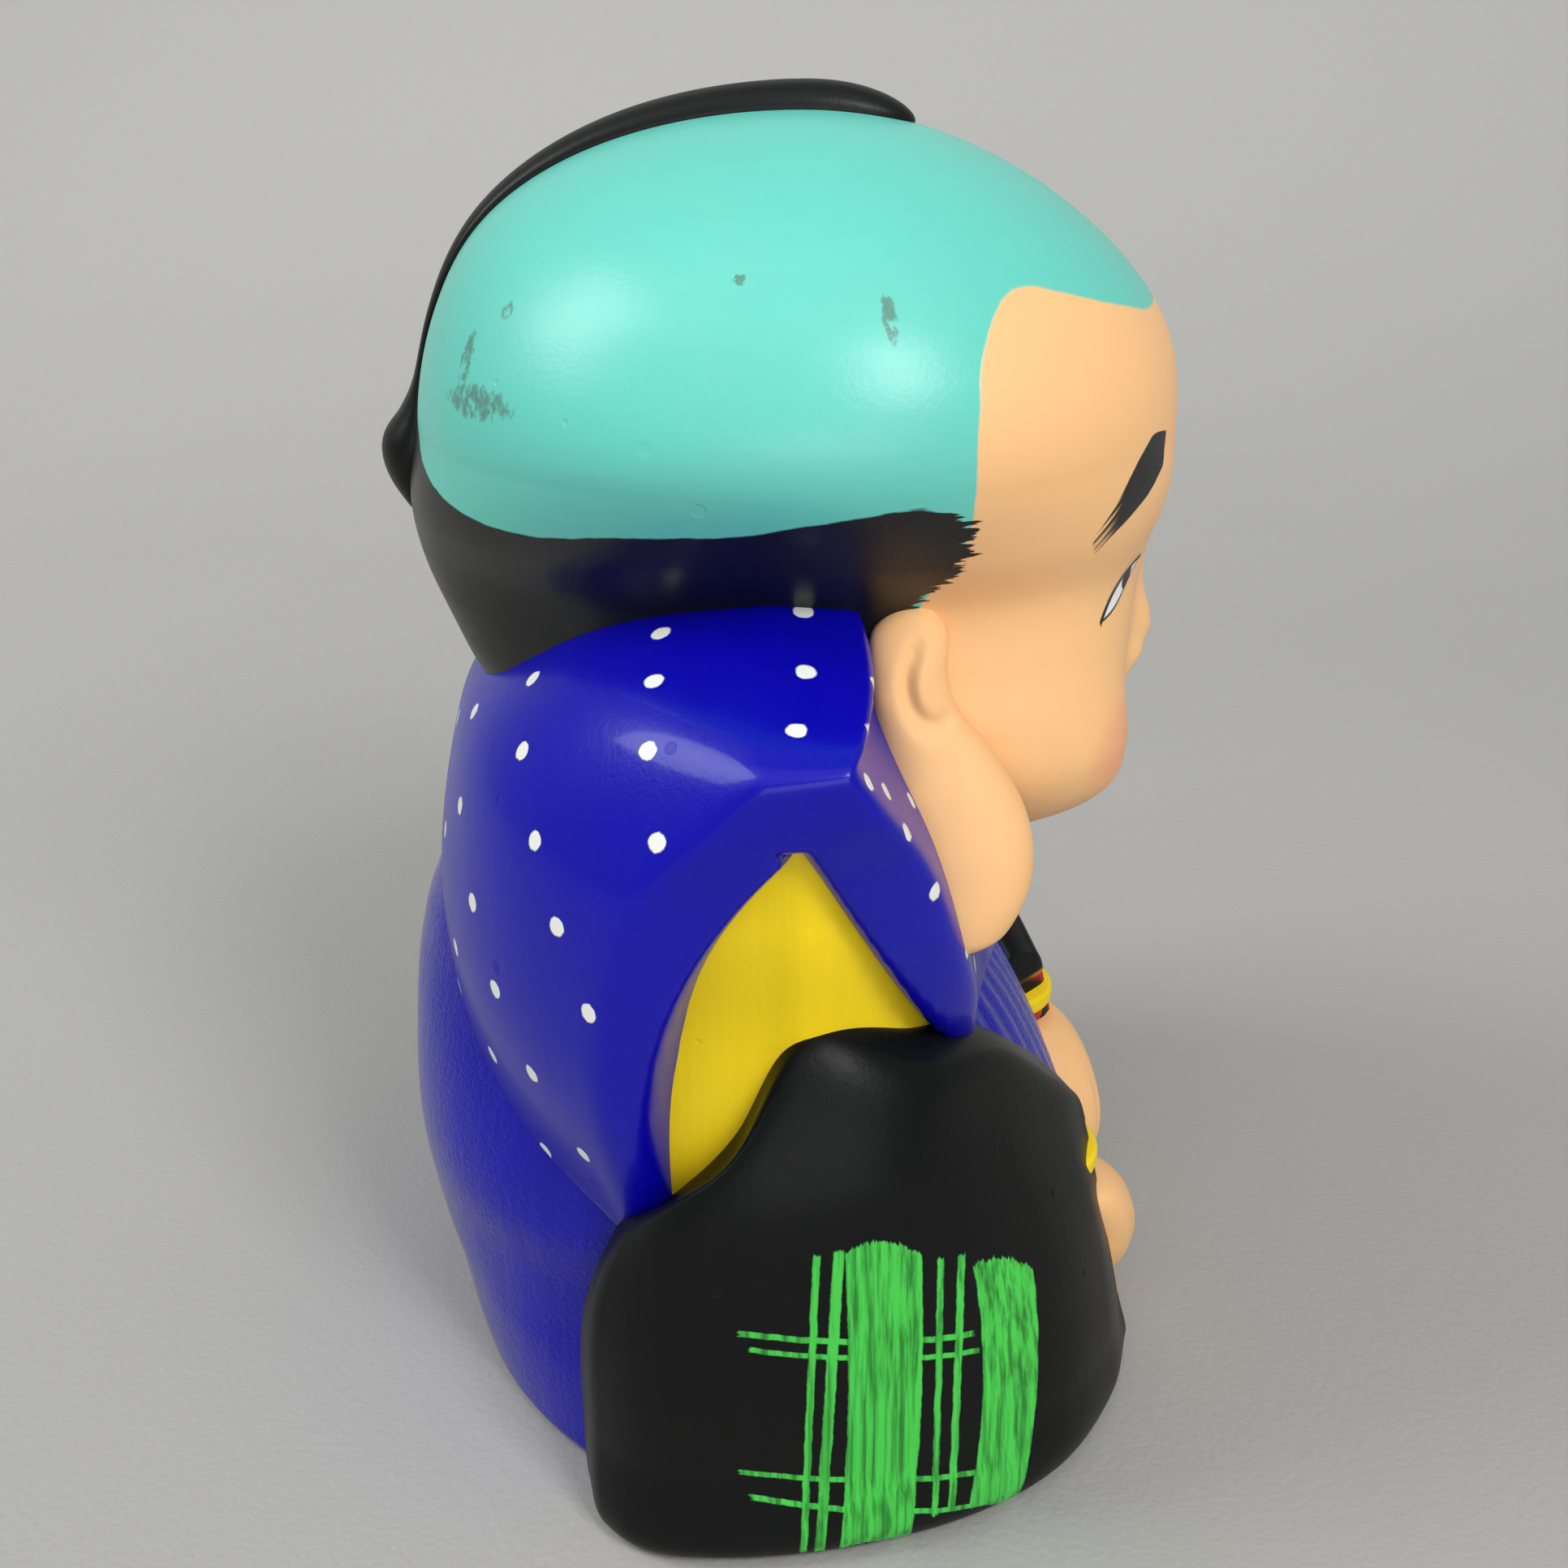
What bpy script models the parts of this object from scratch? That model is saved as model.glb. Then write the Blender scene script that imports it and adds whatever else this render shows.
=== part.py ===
"""Seated good-luck doll of painted earthenware, as the castings that a pottery lutes together.

Frame: lengths are millimetres in this source and metres in the scene, with +Z up. The doll faces -Y, its
right side is -X, and the origin is on the table under the middle of the box. Every casting is a stack of
rings, and Boolean cuts seat each casting on its neighbours with one clearance.
"""

import bpy
import bmesh
import numpy as np
from math import pi, radians, sin
from mathutils import Matrix

MM = 0.001

# ------------------------------------------------------------------ driving dimensions, in millimetres
CLEARANCE = 0.35            # slip joint between two castings
WALL = 5.0                  # wall of the hollow castings

SHOULDER_HEIGHT = 150.0     # ridges of the vest
SLEEVE_HALF_SPAN = 89.5     # outside of one sleeve to the middle plane
SLEEVE_MARGIN = 1.5         # the sleeves stand this much wider than the vest's ridges
VEST_HALF_WIDTH = SLEEVE_HALF_SPAN - SLEEVE_MARGIN
VEST_STAND = 11.0           # the ridges stand this far out from the core
TORSO_HALF_WIDTH = VEST_HALF_WIDTH - VEST_STAND
ARMHOLE_DROP = 16.4         # from the ridge down to the armhole's apex
ARMHOLE_APEX = SHOULDER_HEIGHT - ARMHOLE_DROP

JAW_DROP = 42.0             # the jaw hangs this far below the shoulders
FACE_HEIGHT = 76.0          # from the jaw to the widest ring
CROWN_HEIGHT = 51.5         # from the widest ring to the crown, without the topknot
HEAD_LOW = SHOULDER_HEIGHT - JAW_DROP
HEAD_MIDDLE = HEAD_LOW + FACE_HEIGHT
HEAD_TOP = HEAD_MIDDLE + CROWN_HEIGHT
HEAD_HALF_WIDTH = 67.5
HEAD_REACH = 68.0           # widest ring, from its middle to the forehead and to the nape
HEAD_FORWARD = 3.0          # the head's own axis stands this far forward of the body's
NOSE_REACH = 6.0
NECK_HOLE_RADIUS = 16.0
NECK_FORWARD = 12.0
CHAMBER_DROP = 8.0          # the hollow in the body ends this far below the jaw
CHAMBER_TOP = HEAD_LOW - CHAMBER_DROP

TOPKNOT_HALF_WIDTH = 7.0
TOPKNOT_RISE = 2.0          # how far the roll of hair stands above the crown
TOPKNOT_TIP = 22.5          # the tip's place, forward of the middle
KNOT_REACH = 7.0            # how far the bound knot stands off the back of the head
KNOT_DROP = 7.0
KNOT_HEIGHT = HEAD_MIDDLE - KNOT_DROP

EAR_TOP_X = 50.0            # the ear's axis leans out from here
EAR_LOBE_X = 57.0           # to here at the lobe
EAR_STAND = 9.5             # half thickness of the lobe
EAR_LENGTH = 59.0
LOBE_DROP = 3.0             # the lobe hangs this far below the jaw
EAR_LOW = HEAD_LOW - LOBE_DROP
EAR_LOW_ROUND = 5.0         # rounding of the lobe's end
EAR_HIGH_ROUND = 6.0

SKIRT_TOP = 104.0           # pleated skirt-trousers, up to the small of the back
SKIRT_TUCK = 7.0            # the skirt's panels lie this far inside the core's half width
SKIRT_HALF_WIDTH = TORSO_HALF_WIDTH - SKIRT_TUCK
SKIRT_BACK = 75.0
SKIRT_FRONT = 65.0
SKIRT_SEAM = 6.0            # the two panels meet this far forward of the middle

SLEEVE_DROP = 5.0           # the sleeves' tops lie this far below the top of the skirt
SLEEVE_TOP = SKIRT_TOP - SLEEVE_DROP
SLEEVE_THICKNESS = 34.0

WRIST_X = 31.0
WRIST_FORWARD = 49.5
WRIST_RADIUS = 11.0
CUFF_HEIGHT = 4.2           # each lining shows this much below the next
CUFF_LIP = 1.6              # each lining is this much slimmer than the next
CUFF_TOP = 47.5
HAND_LENGTH = 35.0
HAND_REACH = 13.0           # how far the hand leans forward of the wrist
HAND_LEAN = 13.0            # and how far in towards the middle

COLLAR_THICKNESS = 3.0
COLLAR_WIDTH = 9.0

BASE_THICKNESS = 5.0
VENT_RADIUS = 9.0
VENT_FORWARD = -6.0

FINE = 32                   # points round a large ring
COARSE = 14                 # points round a small one


# ------------------------------------------------------------------ curves and rings
def through(stations, values, at):
    """Smooth curve through a few set values: a cubic between each two, with the slopes of the row."""
    stations = np.asarray(stations, float)
    values = np.asarray(values, float)
    slopes = np.gradient(values, stations, axis=0)
    at = np.clip(at, stations[0], stations[-1])
    left = np.clip(np.searchsorted(stations, at) - 1, 0, len(stations) - 2)
    span = stations[left + 1] - stations[left]
    t = (at - stations[left]) / span
    if values.ndim > 1:
        t = t[..., None]
        span = span[..., None]
    start = (1 + 2 * t) * (1 - t) ** 2 * values[left] + t * (1 - t) ** 2 * span * slopes[left]
    end = t * t * (3 - 2 * t) * values[left + 1] + t * t * (t - 1) * span * slopes[left + 1]
    return start + end


def oval(angles, front, back, half_width, power):
    """Ring as x and forward: |x / width| ** power + |forward / reach| ** power = 1, from its middle."""
    across = np.sin(angles)
    ahead = np.cos(angles)
    reach = np.where(ahead > 0, front, back)
    size = (np.abs(across / half_width) ** power + np.abs(ahead / reach) ** power) ** (-1 / power)
    return size * across, size * ahead


def hill(offset, spread):
    """Smooth hill of height 1 at offset 0."""
    return np.exp(-(offset / spread) ** 2)


def fitted(height):
    """Height on the clothes. Rails are drawn for a skirt of 104 and shoulders at 150, and move with both."""
    return np.interp(height, (0, 104, 150, 250), (0, SKIRT_TOP, SHOULDER_HEIGHT, SHOULDER_HEIGHT + 100))


def turn(count):
    """Angles once round, from straight ahead."""
    return np.arange(count) * 2 * pi / count


# ------------------------------------------------------------------ bodies
def clear_scene():
    for item in list(bpy.data.objects):
        bpy.data.objects.remove(item, do_unlink=True)


def add_mesh(name, points, faces):
    """Mesh object from points as x, forward and up in millimetres, with its faces turned outwards."""
    mesh = bpy.data.meshes.new(name)
    placed = np.asarray(points, float) * (MM, -MM, MM)
    mesh.from_pydata(placed.tolist(), [], faces)
    work = bmesh.new()
    work.from_mesh(mesh)
    bmesh.ops.triangulate(work, faces=work.faces)
    bmesh.ops.recalc_face_normals(work, faces=work.faces)
    work.to_mesh(mesh)
    work.free()
    item = bpy.data.objects.new(name, mesh)
    bpy.context.collection.objects.link(item)
    return item


def skin(name, rings):
    """Closed body through a stack of rings, with a fan over each end."""
    rings = np.asarray(rings, float)
    rows, around = rings.shape[:2]
    ends = [rings[0].mean(axis=0), rings[-1].mean(axis=0)]
    faces = []
    for row in range(rows - 1):
        for k in range(around):
            a = row * around + k
            b = row * around + (k + 1) % around
            faces.append((a, b, b + around, a + around))
    low = rows * around
    last = (rows - 1) * around
    for k in range(around):
        after = (k + 1) % around
        faces.append((after, k, low))
        faces.append((last + k, last + after, low + 1))
    return add_mesh(name, np.vstack([rings.reshape(-1, 3), ends]), faces)


def prism(name, outline, low, high):
    """Straight bar along x between low and high, with an outline given as forward and up."""
    count = len(outline)
    points = [(x, forward, up) for x in (low, high) for forward, up in outline]
    faces = [tuple(range(count)), tuple(range(2 * count - 1, count - 1, -1))]
    for k in range(count):
        after = (k + 1) % count
        faces.append((k, after, after + count, k + count))
    return add_mesh(name, points, faces)


def column(name, x, forward, low, high, radius, around=COARSE):
    """Upright round bar."""
    angles = turn(around)
    ring = np.stack([x + radius * np.sin(angles), forward + radius * np.cos(angles), 0 * angles], axis=1)
    return skin(name, [ring + (0, 0, low), ring + (0, 0, high)])


def grown(item, distance):
    """Copy of a body with every vertex moved along its normal; a guide that only cuts."""
    copy = bpy.data.objects.new(item.name + "_cutter", item.data.copy())
    bpy.context.collection.objects.link(copy)
    mesh = copy.data
    count = len(mesh.vertices)
    places = np.empty(count * 3)
    mesh.vertices.foreach_get("co", places)
    normals = np.array([corner.vector[:] for corner in mesh.vertex_normals]).ravel()
    mesh.vertices.foreach_set("co", places + normals * distance * MM)
    mesh.update()
    return as_cutter(copy)


def as_cutter(item):
    item.hide_render = True
    item.display_type = 'WIRE'
    return item


def carve(item, cutters, solver='EXACT'):
    """Cut with each cutter in turn, keep the result as the body's own mesh, and clear the cutters."""
    for cutter in cutters:
        cut = item.modifiers.new("cut", 'BOOLEAN')
        cut.object = cutter
        cut.operation = 'DIFFERENCE'
        cut.solver = solver
    bpy.context.view_layer.update()
    view = bpy.context.evaluated_depsgraph_get()
    result = bpy.data.meshes.new_from_object(item.evaluated_get(view))
    item.modifiers.clear()
    item.data = result
    for cutter in cutters:
        bpy.data.objects.remove(cutter, do_unlink=True)
    keep_largest(item)


def keep_largest(item):
    """Drop the crumbs that a cut leaves beside the body."""
    work = bmesh.new()
    work.from_mesh(item.data)
    waiting = set(work.verts)
    groups = []
    while waiting:
        group = {waiting.pop()}
        front = list(group)
        while front:
            vert = front.pop()
            for edge in vert.link_edges:
                other = edge.other_vert(vert)
                if other in waiting:
                    waiting.discard(other)
                    group.add(other)
                    front.append(other)
        groups.append(group)
    groups.sort(key=diagonal, reverse=True)
    crumbs = [vert for group in groups[1:] for vert in group]
    bmesh.ops.delete(work, geom=crumbs, context='VERTS')
    work.to_mesh(item.data)
    work.free()


def diagonal(group):
    """Size of a group of points, corner to corner of its box."""
    places = np.array([vert.co[:] for vert in group])
    return float(np.linalg.norm(places.max(axis=0) - places.min(axis=0)))


def paint(item, colour, roughness):
    """Own material for one casting, and smooth shading except at its sharp edges."""
    material = bpy.data.materials.new(item.name)
    material.use_nodes = True
    surface = material.node_tree.nodes["Principled BSDF"]
    surface.inputs["Base Color"].default_value = (*colour, 1.0)
    surface.inputs["Roughness"].default_value = roughness
    surface.inputs["Metallic"].default_value = 0.0
    item.data.materials.clear()
    item.data.materials.append(material)
    item.data.shade_smooth()
    item.data.set_sharp_from_angle(angle=radians(35))


# ------------------------------------------------------------------ head
def head_closing(height):
    """Share of its full reach that the head keeps at a height: round above, boxier below."""
    if height > HEAD_MIDDLE:
        rise = (height - HEAD_MIDDLE) / (HEAD_TOP - HEAD_MIDDLE)
        return (1 - min(rise, 1) ** 2) ** (1 / 2)
    drop = (HEAD_MIDDLE - height) / (HEAD_MIDDLE - HEAD_LOW)
    return (1 - min(drop, 1) ** 3) ** (1 / 3)


def head_ring(height, inset):
    """One ring of the head. Nose, cheeks, lips and chin are smooth hills on the plain oval."""
    shares = np.array((0, 0.08, 0.16, 0.24, 0.33, 0.42, 0.5, 0.6, 0.75, 0.9, 1))
    levels = HEAD_LOW + (HEAD_TOP - HEAD_LOW) * shares
    fronts = HEAD_REACH + np.array((6, 8.5, 1, -4, -5, -3.5, -2, -1.5, -0.5, -3.5, -6))
    backs = HEAD_REACH + np.array((-18, -13, -9, -4, -1, 2, 2.5, 0, 0.5, 5.5, 9))
    widths = HEAD_HALF_WIDTH + np.array((-18, -15.5, -14, -16, -19, -18, -9, 0, 2.5, 1.5, -1.5))
    middles = HEAD_FORWARD + np.array((19, 19, 17, 15, 12, 8, 4, 0, 0, 0, 0))
    closing = head_closing(height)
    middle = through(levels, middles, height)
    shift = middle - HEAD_FORWARD
    front = (through(levels, fronts, height) - shift) * closing - inset
    back = (through(levels, backs, height) + shift) * closing - inset
    half_width = through(levels, widths, height) * closing - inset
    power = through((HEAD_LOW, HEAD_LOW + 24, HEAD_LOW + 55, HEAD_MIDDLE), (2.4, 2.7, 2.2, 2.0), height)
    steps = turn(FINE)
    angles = steps - 0.3 * np.sin(steps)
    x, forward = oval(angles, max(front, 2), max(back, 2), max(half_width, 2), power)
    if inset == 0:
        face = height - HEAD_LOW
        facing = np.where(np.cos(angles) > 0, 1.0, 0.0)
        forward = forward + NOSE_REACH * facing * hill(x, 8) * hill(face - 35, 7.5)
        forward = forward + 2.0 * facing * hill(x, 10) * hill(face - 19, 4)
        forward = forward + 2.5 * facing * hill(x, 12) * hill(face - 8, 5)
        forward = forward + 2.0 * facing * hill(np.abs(x) - 32, 15) * hill(face - 23, 13)
    return np.stack([x, middle + forward, height + 0 * x], axis=1)


def head_rings(inset=0.0):
    """Rings of the head from jaw to crown, closer together where the shape closes."""
    below = np.sin(np.radians(np.linspace(-84, -8, 9)))
    above = np.sin(np.radians(np.linspace(0, 83, 8)))
    heights = list(HEAD_MIDDLE + (HEAD_MIDDLE - HEAD_LOW) * below)
    heights += list(HEAD_MIDDLE + (HEAD_TOP - HEAD_MIDDLE) * above)
    rings = [head_ring(height, inset) for height in heights]
    if inset > 0:
        rings = [ring for ring in rings if HEAD_LOW + inset < ring[0][2] < HEAD_TOP - inset]
    return rings


def make_head():
    head = skin("head_shell", head_rings())
    guide = grown(head, CLEARANCE)
    hollow = as_cutter(skin("head_hollow", head_rings(WALL)))
    neck = as_cutter(column("neck_hole", 0, NECK_FORWARD, HEAD_LOW - 20, HEAD_LOW + 30, NECK_HOLE_RADIUS))
    carve(head, [hollow, neck])
    paint(head, (0.13, 0.66, 0.54), 0.38)
    return guide


def make_topknot(head_guide):
    """Roll of hair along the middle of the crown, from its blunt tip to the bound knot behind."""
    rings = head_rings()
    behind = [ring[FINE // 2] for ring in rings if ring[0][2] > KNOT_HEIGHT - 12]
    ahead = [ring[0] for ring in reversed(rings) if ring[0][2] > HEAD_MIDDLE and ring[0][1] > 1]
    line = np.array(behind + ahead)
    length = np.concatenate([[0], np.cumsum(np.linalg.norm(np.diff(line, axis=0), axis=1))])
    tip = np.interp(TOPKNOT_TIP, line[len(behind):, 1], length[len(behind):])
    at = np.linspace(0, tip, 22)
    path = np.stack([np.interp(at, length, line[:, axis]) for axis in range(3)], axis=1)
    run = np.gradient(path, axis=0)
    run /= np.linalg.norm(run, axis=1)[:, None]
    outward = np.stack([0 * at, -run[:, 2], run[:, 1]], axis=1)
    knot = hill(at - 12, 9)
    front = hill(at - tip + 8, 16)
    close = np.sqrt(1 - (2 * at / tip - 1) ** 10 * 0.93)
    half = (TOPKNOT_HALF_WIDTH + 3.5 * knot) * close
    crown = hill(at - tip + 30, 45)
    rise = (TOPKNOT_RISE + 2.0 * crown + 1.0 * front + (KNOT_REACH - TOPKNOT_RISE) * knot) * close
    angles = turn(COARSE)
    rolls = []
    for k in range(len(at)):
        side = np.outer(half[k] * np.sin(angles), (1, 0, 0))
        lift = np.outer(rise[k] * np.cos(angles), outward[k])
        rolls.append(path[k] + side + lift)
    roll = skin("topknot", rolls)
    carve(roll, [copy_of(head_guide)])
    paint(roll, (0.02, 0.022, 0.02), 0.4)


def make_ear(name, side, head_guide):
    """Long ear with a heavy lobe that hangs forward: level ovals between a front and a rear edge."""
    heights = EAR_LENGTH * np.array((0, 0.05, 0.15, 0.3, 0.42, 0.57, 0.71, 0.8, 0.9, 1))
    front_edge = np.array((33, 37, 41, 42.5, 40.8, 35.5, 28.5, 26, 24, 22.5))
    rear_edge = np.array((28, 23.5, 20.5, 18.5, 17, 16, 15.5, 16.5, 18.5, 21))
    angles = turn(COARSE)
    rings = []
    for up in np.linspace(0.01, 0.99, 12) * EAR_LENGTH:
        front = through(heights, front_edge, up)
        rear = through(heights, rear_edge, up)
        share = 1 - up / EAR_LENGTH
        low_end = (1 - max(1 - up / EAR_LOW_ROUND, 0) ** 2) ** 0.5
        high_end = (1 - max(1 - (EAR_LENGTH - up) / EAR_HIGH_ROUND, 0) ** 2) ** 0.5
        close = low_end * high_end
        swell = through((0, 0.15, 0.45, 0.72, 0.9, 1), (0.45, 0.6, 0.8, 1.0, 0.9, 0.65), share)
        out, ahead = oval(angles, 1, 1, 1, 2.2)
        x = EAR_TOP_X + (EAR_LOBE_X - EAR_TOP_X) * share ** 0.8 + EAR_STAND * swell * close * out
        forward = (front + rear) / 2 + (front - rear) / 2 * close * ahead
        rings.append(np.stack([side * x, forward, EAR_LOW + up + 0 * x], axis=1))
    ear = skin(name, rings)
    guide = grown(ear, CLEARANCE)
    carve(ear, [copy_of(head_guide)])
    paint(ear, (0.97, 0.6, 0.27), 0.45)
    return guide


# ------------------------------------------------------------------ body core
def torso_rings(inset=0.0):
    """Rings of the hollow core that carries the head and the clothes."""
    levels = fitted(np.array((0, 40, 70, 95, 120, 136, 148, 157)))
    fronts = np.array((40, 40, 38, 35, 31, 25, 16, 10))
    backs = np.array((60, 62, 60, 57, 52, 47, 38, 28))
    widths = TORSO_HALF_WIDTH + np.array((-17, -12, -4, -5.5, 0, 0, -11, -31))
    rings = []
    for height in (BASE_THICKNESS + CLEARANCE, *fitted((30, 55, 80, 99, 120, 132, 142, 150, 157))):
        front = through(levels, fronts, height) - inset
        back = through(levels, backs, height) - inset
        half_width = through(levels, widths, height) - inset
        x, forward = oval(turn(FINE), front, back, half_width, 2.3)
        rings.append(np.stack([x, forward, height + 0 * x], axis=1))
    return rings


def make_torso(head_guide, ear_guides):
    torso = skin("kimono_body", torso_rings())
    guide = grown(torso, CLEARANCE)
    inner = [ring - (0, 0, 2 * WALL) for ring in torso_rings(WALL)]
    hollow = as_cutter(skin("torso_hollow", [ring for ring in inner if ring[0][2] < CHAMBER_TOP]))
    roof = CHAMBER_TOP - 30
    neck = as_cutter(column("neck_passage", 0, NECK_FORWARD, roof, HEAD_LOW + 20, NECK_HOLE_RADIUS))
    carve(torso, [copy_of(item) for item in (head_guide, *ear_guides)] + [hollow, neck])
    paint(torso, (0.9, 0.6, 0.01), 0.4)
    return guide


# ------------------------------------------------------------------ vest
def vest_rings():
    """Rings of the stiff vest between four rails: middle of the back, two ridges, middle of the front.

    Each ring bulges between its rails. The last rings run over the shoulders to the neck.
    """
    steps = (0, 1, 2, 3, 3.7, 4, 4.3, 5, 6)
    half = VEST_HALF_WIDTH
    top = 150
    back = np.array([(0, -68.5, 91), (0, -67.5, 107), (0, -64, 124), (0, -59, 138), (0, -51.5, top - 4.5),
                     (0, -49, top - 3), (0, -45.5, top - 0.5), (0, -37, top + 5), (0, -28, top + 10)], float)
    rear = np.array([(half - 16, -25, 55), (half - 7, -28, 81), (half - 4, -27.5, 104), (half - 2.5, -21, 128),
                     (half - 0.8, -9.5, top - 7.5), (half - 0.8, -4, top - 1.5), (half - 5, -4, top + 1.5),
                     (half - 20, -4, top + 7), (half - 42, -2, top + 15)], float)
    fore = np.array([(half - 36, 34, 84), (half - 27, 33, 97), (half - 18, 29, 113), (half - 9, 22, 132),
                     (half - 2, 14, top - 5), (half - 1.2, 11, top), (half - 5, 12, top + 2),
                     (half - 21, 14, top + 6), (half - 42, 12, top + 14)], float)
    middle = np.array([(0, 45, 76), (0, 43, 90), (0, 39, 104), (0, 34, 120), (0, 28, top - 14),
                       (0, 26, top - 8), (0, 24, top - 5), (0, 21, top - 2), (0, 16, top)], float)
    for rail in (back, rear, fore, middle):
        rail[:, 2] = fitted(rail[:, 2])
    rings = []
    for step in (0, 0.7, 1.4, 2.1, 2.8, 3.4, 3.8, 4.15, 4.6, 5.3, 6):
        corners = [through(steps, rail, step) for rail in (back, rear, fore, middle)]
        ring = stretch(corners[0], corners[1], 6, (0.10, -0.09, 0.03))
        ring += stretch(corners[1], corners[2], 4, (0.03, 0, 0))
        ring += stretch(corners[2], corners[3], 4, (0, -0.02, 0))
        ring.append(corners[3])
        mirrored = [point * (-1, 1, 1) for point in reversed(ring[1:-1])]
        rings.append(np.array(ring + mirrored))
    return rings


def stretch(start, end, count, bulge):
    """Points from start up to end, bowed outwards by a share of the distance along each axis."""
    length = np.linalg.norm(end - start)
    share = np.arange(count) / count
    bow = np.outer(np.sin(pi * share), bulge) * length
    return list(start + np.outer(share, end - start) + bow)


def make_vest(head_guide, ear_guides, torso_guide):
    vest = skin("vest", vest_rings())
    apex = ARMHOLE_APEX
    side = VEST_HALF_WIDTH + 20
    arch = [(2.4, apex), (-5, apex - 8), (-11, apex - 17), (-17.5, apex - 35), (-18.5, apex - 60), (-16, 40),
            (60, 40), (2.4 + 0.505 * (apex - 60), 60)]
    armhole = as_cutter(prism("armhole", arch, -side, side))
    low, high = fitted((64, 128))
    wedge = [np.array([(0, forward, low), (24, forward, high), (-24, forward, high)]) for forward in (31, 70)]
    neckline = as_cutter(skin("neckline", wedge))
    seats = [copy_of(item) for item in (head_guide, *ear_guides, torso_guide)]
    carve(vest, seats + [armhole, neckline], 'MANIFOLD')
    paint(vest, (0.004, 0.001, 0.38), 0.28)
    return grown(vest, CLEARANCE)


def make_collar(name, side, lift, cutters):
    """One edge of the kimono, a flat band from the neck across to the belt."""
    high = np.array((side * 17.0, 36 + lift, fitted(122)))
    low = np.array((-side * 2.0, 43 + lift, fitted(82)))
    along = (low - high) / np.linalg.norm(low - high)
    outward = np.array((0.0, 0.98, 0.18))
    across = np.cross(along, outward)
    corners = ((-0.5, -0.5), (0.5, -0.5), (0.5, 0.5), (-0.5, 0.5))
    rings = []
    for end in (high, low):
        rings.append([end + across * a * COLLAR_WIDTH + outward * b * COLLAR_THICKNESS for a, b in corners])
    band = skin(name, rings)
    guide = grown(band, CLEARANCE)
    carve(band, cutters, 'MANIFOLD')
    paint(band, (0.03, 0.032, 0.03) if side > 0 else (0.5, 0.03, 0.03), 0.4)
    return guide


# ------------------------------------------------------------------ sleeves, linings and hands
def sleeve_rings(side):
    """Upright rings across the hanging sleeve, from its rear edge round to its mouth at the wrist."""
    out = SLEEVE_HALF_SPAN
    wide = SLEEVE_THICKNESS
    top = 99
    floor_edge = [(out - 15, -34.5, 0), (out - 7, -31, 0), (out - 0.8, -20, 0), (out - 1.2, 4, 0),
                  (out - 8, 30, 0), (out - 20, 50, 0), (out - 38, 63, 0), (34, 70, 0)]
    low = [(out - 15, -36, 20), (out - 7, -32, 20), (out, -20, 20), (out, 4, 20), (out - 6, 31, 20),
           (out - 18, 51, 20), (out - 37, 63.5, 16), (34, 68.5, 12)]
    middle = [(out - 15, -35, 42), (out - 8, -31, 46), (out - 1, -19, 48), (out - 1, 4, 48), (out - 8, 30, 48),
              (out - 22, 47, 46), (out - 41, 59, 40), (33, 64.5, 30)]
    crease = [(out - 17, -30, 56), (out - 11, -26, 62), (out - 5, -15, 72), (out - 4, 3, 75), (out - 10, 23, 76),
              (out - 27, 39, 71), (out - 46, 53, 58), (30, 60.3, 49)]
    peak = [(out - 19, -26, 60), (out - 14, -20, 66), (out - 10, -9, 77), (out - 17, 4, top - 2),
            (out - 21, 24, top - 9), (out - 38, 38, 82), (out - 53, 51, 66), (27, 57.2, 56)]
    inner_peak = [(out - 24, -22, 52), (out - 24, -16, 58), (out - 26, -8, 70), (out - 31, 4, top - 13),
                  (out - 39, 20, top - 19), (out - 52, 30, 72), (out - 64, 43, 61), (19, 49.5, 54)]
    inner_floor = [(out - 26, -26, 0), (out - wide, -20, 0), (out - wide, -14, 0), (out - wide, 4, 0),
                   (out - wide - 6, 22, 0), (out - wide - 16, 36, 0), (out - wide - 28, 46, 0), (20, 56, 0)]
    rails = np.array([floor_edge, low, middle, crease, peak, inner_peak, inner_floor], float)
    rails[..., 2] *= SLEEVE_TOP / top
    marks = np.arange(rails.shape[1])
    rings = []
    for mark in np.linspace(0, marks[-1], 14):
        corners = np.array([through(marks, rail, mark) for rail in rails])
        count = len(corners)
        wrapped = np.vstack([corners[-1:], corners, corners[:2]])
        ring = through(np.arange(-1, count + 2), wrapped, np.arange(0, count, 0.5))
        ring[:, 2] = np.maximum(ring[:, 2], 0)
        rings.append(ring * (side, 1, 1))
    return rings


def make_sleeve(name, side, cutters):
    sleeve = skin(name, sleeve_rings(side))
    guide = grown(sleeve, CLEARANCE)
    out = SLEEVE_HALF_SPAN
    pocket = []
    for x, reach in ((out - 34 - 12, 8), (out - 34, 14), (out - 20, 20), (out - 9, 16)):
        y, z = oval(turn(COARSE), 28, 28, reach + 12, 2.6)
        pocket.append(np.stack([side * x + 0 * y, 4 + y, 38 + z * 0.8], axis=1))
    hollow = as_cutter(skin(name + "_hollow", pocket))
    carve(sleeve, cutters + [hollow], 'MANIFOLD')
    paint(sleeve, (0.02, 0.022, 0.02), 0.42)
    return guide


def make_lining(name, side, order, colour, torso_guide):
    """One lining that shows at the wrist, a short round band seated on the lap."""
    low = CUFF_TOP - (order + 1) * CUFF_HEIGHT
    radius = WRIST_RADIUS + CUFF_LIP * (1 - order)
    band = column(name, side * WRIST_X, WRIST_FORWARD, low, low + CUFF_HEIGHT - CLEARANCE, radius)
    guide = grown(band, CLEARANCE)
    carve(band, [copy_of(torso_guide)], 'MANIFOLD')
    paint(band, colour, 0.4)
    return guide


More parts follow.
